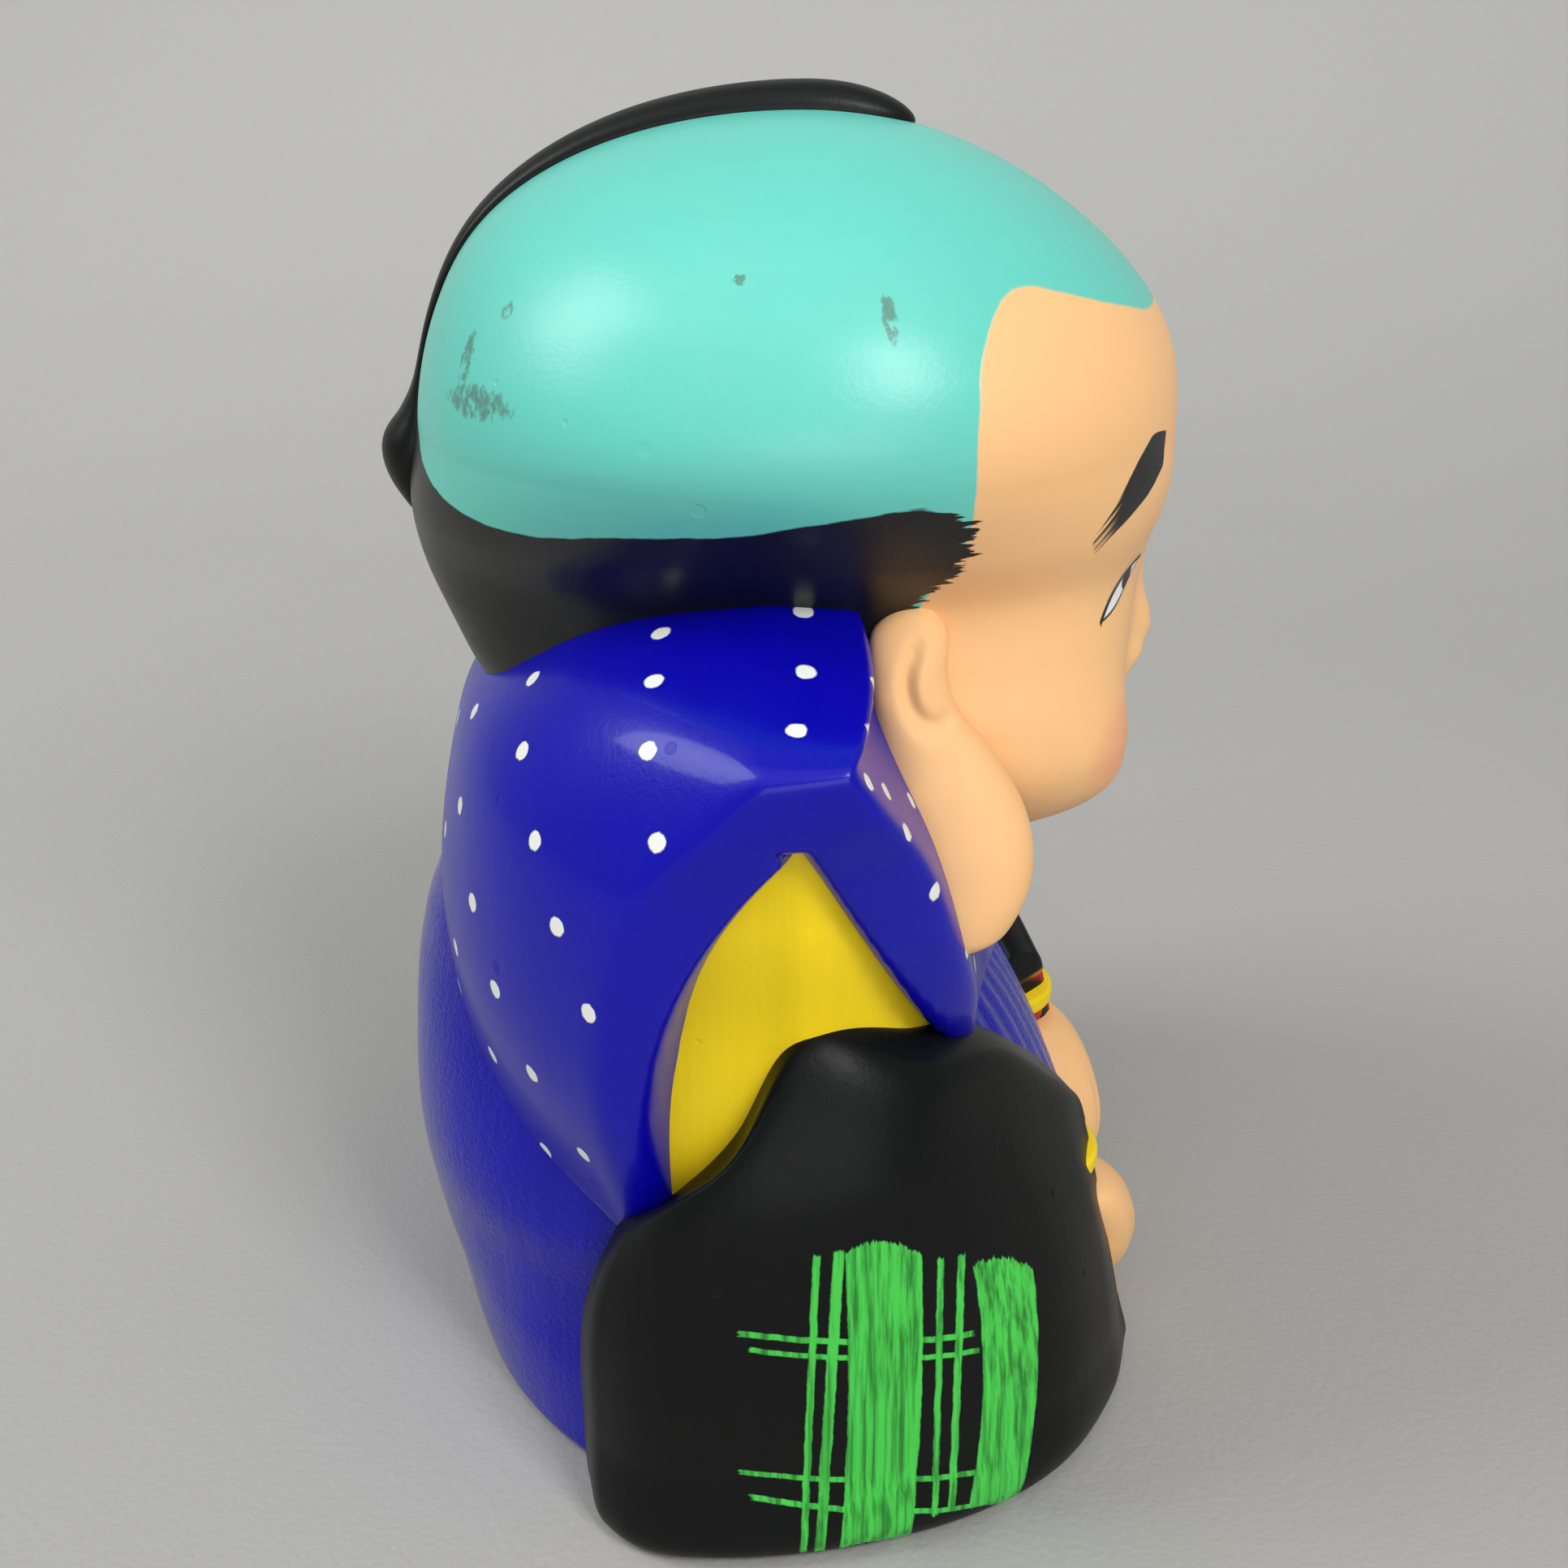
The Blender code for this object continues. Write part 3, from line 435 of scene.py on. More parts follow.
wobble = minus(stroke, speckle(stroke, sway.outputs[0], 1.0, 3, 0.6), 0.5)
start = maths(stroke, 'ADD', given["Along"], times(stroke, minus(stroke, hairs, 0.5), 3))
tail = minus(stroke, given["Length"], start)
ends = maths(stroke, 'MINIMUM', ramp(stroke, start, 0, 0.5), ramp(stroke, tail, 0, 0.5))
edge = maths(stroke, 'ABSOLUTE', maths(stroke, 'MULTIPLY_ADD', wobble, 0.8, given["Across"]))
side_ramp = ramp(stroke, minus(stroke, given["Half Width"], edge), -0.12, 0.18)
gaps = ramp(stroke, hairs, minus(stroke, given["Dryness"], 0.10),
            maths(stroke, 'ADD', given["Dryness"], 0.10))
wire(stroke, gives["Mask"], times(stroke, times(stroke, ends, side_ramp), gaps))


def place_in_mm(tree):
    """x, forward and up of a shaded point, in millimetres."""
    split = tree.nodes.new("ShaderNodeSeparateXYZ")
    tree.links.new(object_place(tree, (1000, -1000, 1000)), split.inputs[0])
    return split.outputs


sleeve_coat, tree, surface = new_paint("sleeve_paint")
place = object_place(tree)
laid = place_effect(tree, coat, colour=(*BLACK, 1), place=place, brush=object_place(tree, (300, 300, 30)),
                    streaks=0.25, mottle=0.4, gloss=0.36)
x_mm, forward_mm, up_mm = place_in_mm(tree)
outer = ramp(tree, maths(tree, 'ABSOLUTE', x_mm), 62, 66)
plaid = None
# upright strokes: forward place at mid height, lean, bow, half width, top, fall of the top, length, dryness
for middle, lean, bow, half, top, fall, length, dryness in (
        (5.2, 0.030, 0.0, 0.65, 65, 0.0, 63, 0.24), (8.4, 0.042, 0.0, 0.95, 65.5, 0.0, 64, 0.24),
        (18.2, 0.012, 0.001, 6.4, 66, 0.25, 64, 0.20), (27.6, -0.012, 0.0, 0.60, 60, 0.0, 54, 0.26),
        (30.9, 0.0, 0.0, 0.70, 59, 0.0, 53, 0.26), (41.0, 0.0, 0.0034, 5.3, 54, 0.75, 51, 0.22)):
    from_middle = minus(tree, up_mm, 28)
    bend = maths(tree, 'MULTIPLY_ADD', times(tree, from_middle, from_middle), -bow, middle)
    centre = maths(tree, 'MULTIPLY_ADD', from_middle, lean, bend)
    aside = minus(tree, forward_mm, centre)
    dip = times(tree, aside, maths(tree, 'MULTIPLY_ADD', aside, 0.07, fall))
    start = minus(tree, minus(tree, top, dip), up_mm)
    put = place_effect(tree, stroke, along=start, across=aside, length=float(length), half_width=half,
                       dryness=dryness)["Mask"]
    plaid = put if plaid is None else maths(tree, 'MAXIMUM', plaid, put)
# level strokes: height at the rear end, fall per mm forward, half width, rear end, length
for height, fall, half, rear, length in ((50.6, 0.19, 0.62, -7, 41), (47.2, 0.205, 0.55, -5, 40),
                                         (21.0, 0.19, 0.60, -7, 44), (15.6, 0.25, 0.62, -5, 43)):
    line = maths(tree, 'MULTIPLY_ADD', minus(tree, forward_mm, rear), -fall, height)
    put = place_effect(tree, stroke, along=minus(tree, forward_mm, rear),
                       across=minus(tree, up_mm, line), length=float(length), half_width=half,
                       dryness=0.22)["Mask"]
    plaid = maths(tree, 'MAXIMUM', plaid, put)
plaid = times(tree, plaid, outer)
worn_thin = speckle(tree, object_place(tree, (900, 900, 11)), 1.0, 4, 0.6)
thin = times(tree, plaid, ramp(tree, worn_thin, 0.32, 0.62, 0.35, 1.0))
mouth_edge = read_mark(tree, "mouth")["Fac"]
hangs = times(tree, ramp(tree, up_mm, 11, 12.5), ramp(tree, up_mm, 50, 51.5, 1.0, 0.0))
lining = times(tree, ramp(tree, mouth_edge, 2.4, 2.8), hangs)
red_edge = times(tree, ramp(tree, mouth_edge, 5.3, 5.5), hangs)
# deep in each sleeve's mouth the lining turns black: painted shade for the shadow inside the hollow sleeve
painted_mouth_shade = ramp(tree, mouth_edge, 6.2, 6.8)
colour = blend(tree, thin, laid["Colour"], (*GREEN, 1))
colour = blend(tree, lining, colour, (*YELLOW, 1))
colour = blend(tree, red_edge, colour, (*RED, 1))
wire(tree, surface.inputs["Base Color"], blend(tree, painted_mouth_shade, colour, (*BLACK, 1)))
wire(tree, surface.inputs["Roughness"], maths(tree, 'MULTIPLY_ADD', plaid, -0.04, laid["Roughness"]))
surface.inputs["Specular IOR Level"].default_value = 0.12
relief(tree, surface, maths(tree, 'MULTIPLY_ADD', thin, 0.5, laid["Height"]), 0.00025)

for word, side in (("right", -1), ("left", 1)):
    grid = sleeve_grid(side)
    piece = casting("sleeve_bag_" + word, grid, sleeve_coat, "sleeve_paint", "sleeve_" + word)
    rows = np.arange(len(grid))[:, None] - (len(grid) - 9)
    mark(piece, "mouth", rows + 0 * grid[..., 0])


# ================================================================ linings and hands
# Two linings show below each sleeve as narrow painted bands, yellow over red. The hands are closed and rest
# in the lap, modelled as soft mitts with three shallow grooves between the fingers.
WRIST_X = 31.0
WRIST_FORWARD = 49.5
WRIST_RADIUS = 11.0
CUFF_TOP = 47.5
CUFF_HEIGHT = 4.2
CUFF_LIP = 1.6
HAND_LENGTH = 35.0
HAND_REACH = 13.0
HAND_LEAN = 13.0
SKIN = (0.95, 0.55, 0.245)

red_coat = plain_coat("red_paint", RED, 0.14, 0.2, 0.40, (500, 500, 60))
skin_coat = plain_coat("hand_skin_paint", SKIN, 0.04, 0.06, 0.44, (200, 200, 60))
small_ring = np.arange(120) * 2 * pi / 120
for word, side in (("right", -1), ("left", 1)):
    for order, colour_name, finish in ((0, "yellow", yellow_coat), (1, "red", red_coat)):
        band_low = CUFF_TOP - (order + 1) * CUFF_HEIGHT
        along = np.linspace(-1, 1, 24)[:, None]
        radius = WRIST_RADIUS + CUFF_LIP * (1 - order) - 0.9 * along ** 6
        across = np.sin(small_ring) * radius
        reach = np.cos(small_ring) * radius
        band = np.stack([side * WRIST_X + across, WRIST_FORWARD + BODY_AXIS + reach,
                         band_low + (along + 1) / 2 * CUFF_HEIGHT + 0 * across], axis=-1)
        casting(f"cuff_band_{colour_name}_{word}", band, finish, colour_name + "_paint",
                f"cuff_{colour_name}_{word}")
    share = np.linspace(0, 1, 110)[:, None]
    close = (1 - (0.995 * share) ** 5) ** 0.5
    half = (WRIST_RADIUS - 1.5 + 3.0 * np.abs(np.sin(pi * share)) ** 0.6) * close
    across, reach = oval(small_ring, half, half, half, 2.2)
    knuckles = np.clip(np.cos(small_ring), 0, 1) * hill(share - 0.68, 0.3)
    groove = 0.9 * knuckles * (hill(across + 5.2, 0.9) + hill(across, 0.9) + hill(across - 5.2, 0.9))
    thumb = 2.2 * hill(share - 0.38, 0.16) * hill(small_ring - (pi / 2 if side < 0 else 3 * pi / 2), 0.5)
    size = 1 + thumb / np.maximum(half, 3)
    lean = HAND_LEAN * (1 - (1 - share) ** 2)
    forward = WRIST_FORWARD + BODY_AXIS + HAND_REACH * np.sin(pi * share / 2) ** 0.35
    fist = np.stack([side * (WRIST_X - lean) + across * size, forward + reach * size - groove,
                     CUFF_TOP - 2 * CUFF_HEIGHT - HAND_LENGTH * share + 0 * across], axis=-1)
    casting("fist_" + word, fist, skin_coat, "skin_paint", "hand_" + word)


# ================================================================ chest collars
# The crossed edges of the under and the outer kimono, black over red, as flat bands with soft edges that
# run from the neck into the front opening of the vest.
COLLAR_THICKNESS = 3.0
COLLAR_WIDTH = 9.0

black_coat = plain_coat("collar_black_paint", BLACK, 0.2, 0.3, 0.38, (400, 400, 60))
for word, side, lift, finish, slot_name in (("left", 1, 1.5, black_coat, "black_paint"),
                                            ("right", -1, 0.0, red_coat, "red_paint")):
    neck_end = np.array((side * 17.0, 36 + lift + BODY_AXIS, 122))
    belt_end = np.array((-side * 2.0, 43 + lift + BODY_AXIS, 82))
    run = (belt_end - neck_end) / np.linalg.norm(belt_end - neck_end)
    outward = np.array((0.0, 0.98, 0.18))
    sideways = np.cross(run, outward)
    share = np.linspace(0, 1, 60)[:, None]
    close = np.sqrt(1 - np.abs(2 * share - 1) ** 30 * 0.9)
    flat_x, flat_z = oval(small_ring, COLLAR_THICKNESS / 2, COLLAR_THICKNESS / 2, COLLAR_WIDTH / 2, 5)
    line = neck_end + share[..., None] * (belt_end - neck_end)
    band = line + (flat_x * close)[..., None] * sideways + (flat_z * close)[..., None] * outward
    casting("collar_band_" + word, band, finish, slot_name, "collar_" + word)


# ================================================================ vest
# The kataginu: a stiff vest whose shoulders stand out as ridges, open under the arms and at the chest. The
# casting is painted glossy ultramarine, with rows of off-white dabs on the back and on the shoulders.
VEST_HALF_WIDTH = 88.0
SHOULDER_HEIGHT = 150.0
ARMHOLE_APEX = 133.6
DAB = (0.84, 0.86, 0.80)
DAB_RADIUS = 1.65

half = VEST_HALF_WIDTH
top = SHOULDER_HEIGHT
back = [(0, -68.5, 91), (0, -67.5, 107), (0, -64, 124), (0, -59, 138), (0, -51.5, 145.5), (0, -49, top - 3),
        (0, -45.5, top - 0.5), (0, -37, top + 5), (0, -28, top + 10)]
rear = [(half - 16, -25, 55), (half - 7, -28, 81), (half - 4, -27.5, 104), (half - 2.5, -21, 128),
        (half - 0.8, -9.5, top - 7.5), (half - 0.8, -4, top - 1.5), (half - 5, -4, top + 1.5),
        (half - 20, -4, top + 7), (half - 42, -2, top + 15)]
fore = [(half - 36, 34, 84), (half - 27, 33, 97), (half - 18, 29, 113), (half - 9, 22, 132),
        (half - 2, 14, top - 5), (half - 1.2, 11, top), (half - 5, 12, top + 2), (half - 21, 14, top + 6),
        (half - 42, 12, top + 14)]
chest = [(0, 45, 76), (0, 43, 90), (0, 39, 104), (0, 34, 120), (0, 28, top - 14), (0, 26, top - 8),
         (0, 24, top - 5), (0, 21, top - 2), (0, 16, top)]
stations = (0, 1, 2, 3, 3.7, 4, 4.3, 5, 6)


def bowed(start, end, count, bulge):
    """Points from start up to end on straight lines, bowed out by sin(pi share) * bulge * distance."""
    length = np.linalg.norm(end - start, axis=1)[:, None, None]
    share = (np.arange(count) / count)[:, None]
    return start[:, None] + share * (end - start)[:, None] + np.sin(pi * share) * np.array(bulge) * length


along = np.linspace(0, 6, 255)
spine, rear_ridge, fore_ridge, front = (through(stations, np.array(rail, float), along)
                                        for rail in (back, rear, fore, chest))
half_ring = np.concatenate([bowed(spine, rear_ridge, 82, (0.10, -0.09, 0.03)),
                            bowed(rear_ridge, fore_ridge, 36, (0.03, 0, 0)),
                            bowed(fore_ridge, front, 46, (0.0, -0.02, 0)), front[:, None]], axis=1)
# the back panel and the shoulder roll over softly; only the ridge keeps its corner
panel_softness = hill(np.arange(-30, 31), 12.0)
padded_rows = np.concatenate([2 * half_ring[:1] - half_ring[30:0:-1], half_ring,
                              2 * half_ring[-1:] - half_ring[-2:-32:-1]])
softened = sum(weight * padded_rows[k:k + len(half_ring)] for k, weight in enumerate(panel_softness))
softened /= panel_softness.sum()
near_ridge = hill(np.clip(82 - np.arange(half_ring.shape[1]), 0, None), 9)[:, None]
half_ring = softened + near_ridge * (half_ring - softened)
vest = np.concatenate([half_ring, half_ring[:, -2:0:-1] * (-1, 1, 1)], axis=1)
softness = hill(np.arange(-6, 7), 3.0)
vest = sum(weight * np.roll(vest, offset, axis=1) for offset, weight in zip(range(-6, 7), softness))
vest /= softness.sum()

# the armhole: where the wall lies between its rear and its front edge it sinks into the body
rear_edge = through((40, 68, 85, 99.6, 117, 126, ARMHOLE_APEX), (-15, -17.5, -19, -16.9, -9.8, -3.8, 2.4),
                    vest[..., 2])
front_edge = 2.4 + (ARMHOLE_APEX - vest[..., 2]) * 0.505
gap_rear = (vest[..., 1] - rear_edge) * 0.85
gap_front = (front_edge - vest[..., 1]) * 0.89
inside = np.minimum(gap_rear, gap_front)
inside = np.minimum(inside, (ARMHOLE_APEX - vest[..., 2]) * 0.8)
sink = np.clip((inside + 3.3) / 6, 0, 1)
on_side = np.clip((np.abs(vest[..., 0]) - 40) / 12, 0, 1)
vest[..., 0] -= np.sign(vest[..., 0]) * 14 * on_side * sink ** 2 * (3 - 2 * sink)

# the neck opening at the chest sinks in the same way
wedge = (24 / 64) * (vest[..., 2] - 64) - np.abs(vest[..., 0])
sink = np.clip((wedge + 1) / 3.5, 0, 1) * np.clip((vest[..., 1] - 20) / 8, 0, 1)
vest[..., 1] -= 7 * sink ** 2 * (3 - 2 * sink)

# rounded hem, a quarter circle of this radius
HEM_RADIUS = 2.2
quarter = np.linspace(pi / 2, 0, 7)[:-1, None, None]
hem = vest[0]
inward = hem - hem.mean(axis=0)
inward = inward / np.linalg.norm(inward, axis=1)[:, None]
rounded = hem - inward * HEM_RADIUS * (1 - np.cos(quarter)) - (0, 0, HEM_RADIUS) * np.sin(quarter)
vest = np.concatenate([rounded, vest])
vest[..., 1] += BODY_AXIS

# rows of dabs, each a smooth curve from the neck out to the armhole: three points on it, and how many dabs
dab_rows = [
    ((50, 4, 160), (64, 4, 156), (78, 3, 152), 3), ((50, -18, 157), (68, -19, 152), (83, -18, 138), 4),
    ((43, -40, 148), (68, -38, 131), (81, -29, 107), 5), ((31, -52, 137), (60, -49, 107), (72, -32, 75), 6),
    ((15, -58, 130), (45, -56, 99), (61, -42, 65), 5), ((0, -62, 124), (24, -64, 100), (38, -58, 86), 3),
    ((64, 14, 155), (76, 14.5, 152), (83, 15, 148), 3), ((76, 20, 145), (79, 23, 133), (64, 33, 109), 4),
    ((58, 24, 150), (64, 30, 132), (52, 38, 100), 4)]
nearest = np.full(vest.shape[:2], 99.0)
for start, middle, end, count in dab_rows:
    share = np.linspace(0, 1, count)
    spots = through((0, 0.5, 1), np.array((start, middle, end), float), share)
    for spot in spots:
        for side in (-1, 1):
            away = np.linalg.norm(vest - spot * (side, 1, 1), axis=-1)
            centre = vest.reshape(-1, 3)[away.argmin()]
            nearest = np.minimum(nearest, np.linalg.norm(vest - centre, axis=-1))

vest_coat, tree, surface = new_paint("vest_blue_paint")
place = object_place(tree)
laid = place_effect(tree, coat, colour=(*ULTRAMARINE, 1), place=place,
                    brush=object_place(tree, (60, 420, 60)), streaks=0.16, mottle=0.2, gloss=0.34)
uneven = maths(tree, 'MULTIPLY_ADD', speckle(tree, place, 350, 2), 0.9, -0.45)
rim = maths(tree, 'ADD', read_mark(tree, "dab")["Fac"], uneven)
dabs = ramp(tree, rim, DAB_RADIUS - 0.15, DAB_RADIUS + 0.15, 1.0, 0.0)
wire(tree, surface.inputs["Base Color"], blend(tree, dabs, laid["Colour"], (*DAB, 1)))
wire(tree, surface.inputs["Roughness"], maths(tree, 'MULTIPLY_ADD', dabs, 0.12, laid["Roughness"]))
surface.inputs["Specular IOR Level"].default_value = 0.22
surface.inputs["Coat Weight"].default_value = 0.22
surface.inputs["Coat Roughness"].default_value = 0.09
relief(tree, surface, maths(tree, 'ADD', laid["Height"], times(tree, dabs, 0.8)), 0.0003)
piece = casting("shoulder_vest", vest, vest_coat, "blue_paint", "vest")
mark(piece, "dab", nearest)


# ================================================================ head
# The big hollow head: a shaved turquoise pate, black hair painted round the back and the temples, and a calm
# doll's face. It is cast in one, sanded smooth and painted by hand; it sits down into the vest's neck.
HEAD_TOP = 235.5
HEAD_MIDDLE = 184.0
HEAD_LOW = 108.0
HEAD_HALF_WIDTH = 67.5
HEAD_REACH = 68.0
HEAD_FORWARD = 3.0
NOSE_REACH = 6.0
TURQUOISE = (0.135, 0.62, 0.515)
BLUSH = (0.90, 0.20, 0.16)

span = HEAD_TOP - HEAD_LOW
levels = HEAD_LOW + span * np.array((0, 0.08, 0.16, 0.24, 0.33, 0.42, 0.5, 0.6, 0.75, 0.9, 1))
fronts = HEAD_REACH + np.array((6, 8.5, 1, -4, -5, -3.5, -2, -1.5, -0.5, -3.5, -6))
backs = HEAD_REACH + np.array((-18, -13, -9, -4, -1, 2, 2.5, 0, 0.5, 5.5, 9))
widths = HEAD_HALF_WIDTH + np.array((-18, -15.5, -14, -16, -19, -18, -9, 0, 2.5, 1.5, -1.5))
middles = HEAD_FORWARD + np.array((19, 19, 17, 15, 12, 8, 4, 0, 0, 0, 0))
below = np.sin(np.radians(np.linspace(-88.5, 0, 170)))
above = np.sin(np.radians(np.linspace(0, 88.5, 111)[1:]))
up = np.concatenate([HEAD_MIDDLE + (HEAD_MIDDLE - HEAD_LOW) * below,
                     HEAD_MIDDLE + (HEAD_TOP - HEAD_MIDDLE) * above])[:, None]
rise = np.clip((up - HEAD_MIDDLE) / (HEAD_TOP - HEAD_MIDDLE), 0, 1)
drop = np.clip((HEAD_MIDDLE - up) / (HEAD_MIDDLE - HEAD_LOW), 0, 1)
closing = np.where(up > HEAD_MIDDLE, (1 - rise ** 2) ** (1 / 2), (1 - drop ** 3) ** (1 / 3))
middle = through(levels, middles, up)
power = through((HEAD_LOW, HEAD_LOW + 24, HEAD_LOW + 55, HEAD_MIDDLE), (2.4, 2.7, 2.2, 2.0), up)
steps = np.arange(320) * 2 * pi / 320
angles = steps - 0.3 * np.sin(steps)
x, ahead = oval(angles, (through(levels, fronts, up) - middle + HEAD_FORWARD) * closing,
                (through(levels, backs, up) + middle - HEAD_FORWARD) * closing,
                through(levels, widths, up) * closing, power)
face = up - HEAD_LOW
facing = np.clip(np.cos(angles) * 4, 0, 1)
side_x = np.abs(x)
nose = NOSE_REACH * hill(x, 8) * hill(face - 35, 7.5) + 2.0 * hill(x, 5) * hill(face - 45, 9)
wings = 1.8 * hill(side_x - 7.5, 3.2) * hill(face - 32, 3.6)
lips = hill(x, 9) * (2.2 * hill(face - 21.5, 2.2) + 2.2 * hill(face - 16.5, 2.4) - 0.8 * hill(face - 19, 1.1))
chin = 2.5 * hill(x, 12) * hill(face - 8, 5)
cheeks = 2.0 * hill(side_x - 32, 15) * hill(face - 23, 13)
sockets = -1.6 * hill(side_x - 23, 11) * hill(face - 52, 7)
brows = 1.0 * hill(side_x - 28, 14) * hill(face - 70, 8)
ahead = ahead + facing * (nose + wings + lips + chin + cheeks + sockets + brows)
head = np.stack([x, middle + ahead + BODY_AXIS, up + 0 * x], axis=-1)

# Places on the skin: wrap is millimetres round from the middle of the face, at the head's mean radius.
PER_DEGREE = 1.08
degrees = np.degrees(np.arctan2(np.abs(head[..., 0]), head[..., 1] - HEAD_FORWARD))
wrap = degrees * PER_DEGREE
height = head[..., 2]
hair_line = through((0, 60, 65, 73, 83, 99, 116, 135, 145, 155, 162, 168, 172, 181),
                    (176, 176, 178, 182.7, 181.7, 178.4, 176.5, 174.4, 175.7, 179, 183.5, 193, 208, 226),
                    degrees)
burn_degrees = through((108, 150, 163.7, 167, 171, 178, 184), (70, 70, 69.5, 68.3, 66.8, 66.4, 66.6), height)
burn_line = burn_degrees * PER_DEGREE
pate_line = through((0, 10, 20, 28, 36.6, 43.6, 51.2, 58, 64, 70),
                    (207, 206, 205.6, 206.5, 208.2, 209.8, 212, 213, 214, 214), degrees)
temple_line = through((108, 165, 178, 186, 197.5, 204, 208.4, 212, 220),
                      (70, 68, 66.5, 67.2, 67, 65.4, 62.6, 60, 58), height) * PER_DEGREE
CORNER = 7.0


def rounded_least(first, second, radius):
    """The lesser of two distances, with the corner between them rounded to the radius."""
    mix = np.clip((radius - np.abs(first - second)) / radius, 0, 1)
    return np.minimum(first, second) - mix ** 2 * radius / 4


hair = np.minimum(hair_line - height, wrap - burn_line)
skin = rounded_least(pate_line - height, temple_line - wrap, CORNER)
burn = hill(wrap - burn_line, 9) * hill(height - 171, 11)

face_paint, tree, surface = new_paint("head_paint")
place = object_place(tree)
wrap_mm = read_mark(tree, "wrap")["Fac"]
side_mm, _, height_mm = place_in_mm(tree)
skin_mark = maths(tree, 'ADD', read_mark(tree, "skin")["Fac"],
                  maths(tree, 'MULTIPLY_ADD', speckle(tree, place, 120, 3), 1.2, -0.6))
on_skin = ramp(tree, skin_mark, -0.25, 0.25)

pate = place_effect(tree, coat, colour=(*TURQUOISE, 1), place=place, brush=object_place(tree, (60, 60, 500)),
                    streaks=0.05, mottle=0.07, gloss=0.33)
flesh = place_effect(tree, coat, colour=(*SKIN, 1), place=place, brush=object_place(tree, (200, 200, 60)),
                     streaks=0.02, mottle=0.05, gloss=0.46)
hair_coat = place_effect(tree, coat, colour=(*BLACK, 1), place=place, brush=object_place(tree, (60, 60, 600)),
                         streaks=0.35, mottle=0.5, gloss=0.36)

# the shaved pate is scuffed grey where the head was handled, low on its back corner
scuff_place = object_place(tree, (1, 1, 0.6))
patch = None
for scuff_wrap, scuff_height, wide, tall in (
        (138, 194.5, 12, 3.6), (143, 200.5, 2.6, 5.5), (77.6, 209.5, 1.6, 4.5), (98.7, 214.3, 1.6, 1.2),
        (136.5, 208, 2.0, 1.8)):
    across = maths(tree, 'DIVIDE', minus(tree, wrap_mm, scuff_wrap * PER_DEGREE), float(wide))
    tall_way = maths(tree, 'DIVIDE', minus(tree, height_mm, scuff_height), float(tall))
    square = maths(tree, 'ADD', times(tree, across, across), times(tree, tall_way, tall_way))
    near = ramp(tree, square, 0.1, 1.3, 1.0, 0.0)
    patch = near if patch is None else maths(tree, 'MAXIMUM', patch, near)
right_side = maths(tree, 'LESS_THAN', side_mm, 0.0)
crumbs = maths(tree, 'MULTIPLY_ADD', patch, 0.34, speckle(tree, scuff_place, 700, 5, 0.7))
crumbs = ramp(tree, crumbs, 0.72, 0.86)
scuffs = times(tree, times(tree, crumbs, patch), right_side)
film = times(tree, ramp(tree, speckle(tree, place, 22, 5, 0.6), 0.5, 0.75), 0.16)
pate_colour = blend(tree, film, pate["Colour"], (0.20, 0.62, 0.52, 1))
pate_colour = blend(tree, times(tree, scuffs, 0.75), pate_colour, (0.09, 0.17, 0.13, 1))

# blush on the cheeks, laid on with a dry pad
cheek_way = maths(tree, 'DIVIDE', minus(tree, wrap_mm, 29.0), 11.0)
cheek_up = maths(tree, 'DIVIDE', minus(tree, height_mm, 131.0), 9.0)
cheek = maths(tree, 'ADD', times(tree, cheek_way, cheek_way), times(tree, cheek_up, cheek_up))
rosy = times(tree, ramp(tree, cheek, 0.0, 1.3, 1.0, 0.0), 0.34)
flesh_colour = blend(tree, rosy, flesh["Colour"], (*BLUSH, 1))

# eyebrow: one loaded stroke that slants down and outwards, and a fainter dry one below its tail
BROW_SLOPE = radians(-43)


def slanted(tree, start_wrap, start_height, angle):
    """Distance along and across a straight stroke on the face that starts at a place and runs at an angle."""
    right = minus(tree, wrap_mm, start_wrap)
    rise = minus(tree, height_mm, start_height)
    along = maths(tree, 'ADD', times(tree, right, cos(angle)), times(tree, rise, sin(angle)))
    across = maths(tree, 'ADD', times(tree, right, -sin(angle)), times(tree, rise, cos(angle)))
    return along, across


along, across = slanted(tree, 28.5, 187.5, BROW_SLOPE)
bow = maths(tree, 'MULTIPLY_ADD', times(tree, along, minus(tree, 24.0, along)), 0.008, -0.5)
across = minus(tree, across, bow)
taper = times(tree, ramp(tree, along, -1, 5), ramp(tree, along, 8, 24, 4.4, 2.0))
brow = place_effect(tree, stroke, along=along, across=across, length=24.0, half_width=taper,
                    dryness=ramp(tree, along, 8, 24, 0.05, 0.56))["Mask"]
along, across = slanted(tree, 24.0, 164.5, radians(-38))
tick = place_effect(tree, stroke, along=along, across=across, length=11.0, half_width=0.45,
                    dryness=0.42)["Mask"]
ink = maths(tree, 'MAXIMUM', brow, times(tree, tick, 0.35))

# eye: a narrow white almond between two arcs, sloping down outwards, with a heavy upper lid line
EYE_HALF = 9.0
along, across = slanted(tree, 18.0, 162.5, radians(-25))
place_in_eye = maths(tree, 'DIVIDE', minus(tree, along, EYE_HALF), EYE_HALF)
arch = minus(tree, 1.0, times(tree, place_in_eye, place_in_eye))
upper = times(tree, arch, 2.3)
lower = times(tree, arch, -1.4)
open_eye = times(tree, ramp(tree, minus(tree, upper, across), -0.1, 0.15),
                 ramp(tree, minus(tree, across, lower), -0.1, 0.15))
lid = ramp(tree, maths(tree, 'ABSOLUTE', minus(tree, across, upper)), 0.35, 0.75, 1.0, 0.0)
lid = times(tree, lid, ramp(tree, arch, -0.18, -0.05))
under = ramp(tree, maths(tree, 'ABSOLUTE', minus(tree, across, lower)), 0.12, 0.36, 1.0, 0.0)
under = times(tree, under, ramp(tree, arch, -0.05, 0.05))
iris_way = minus(tree, along, 0.70 * EYE_HALF)
iris_up = minus(tree, across, 0.5)
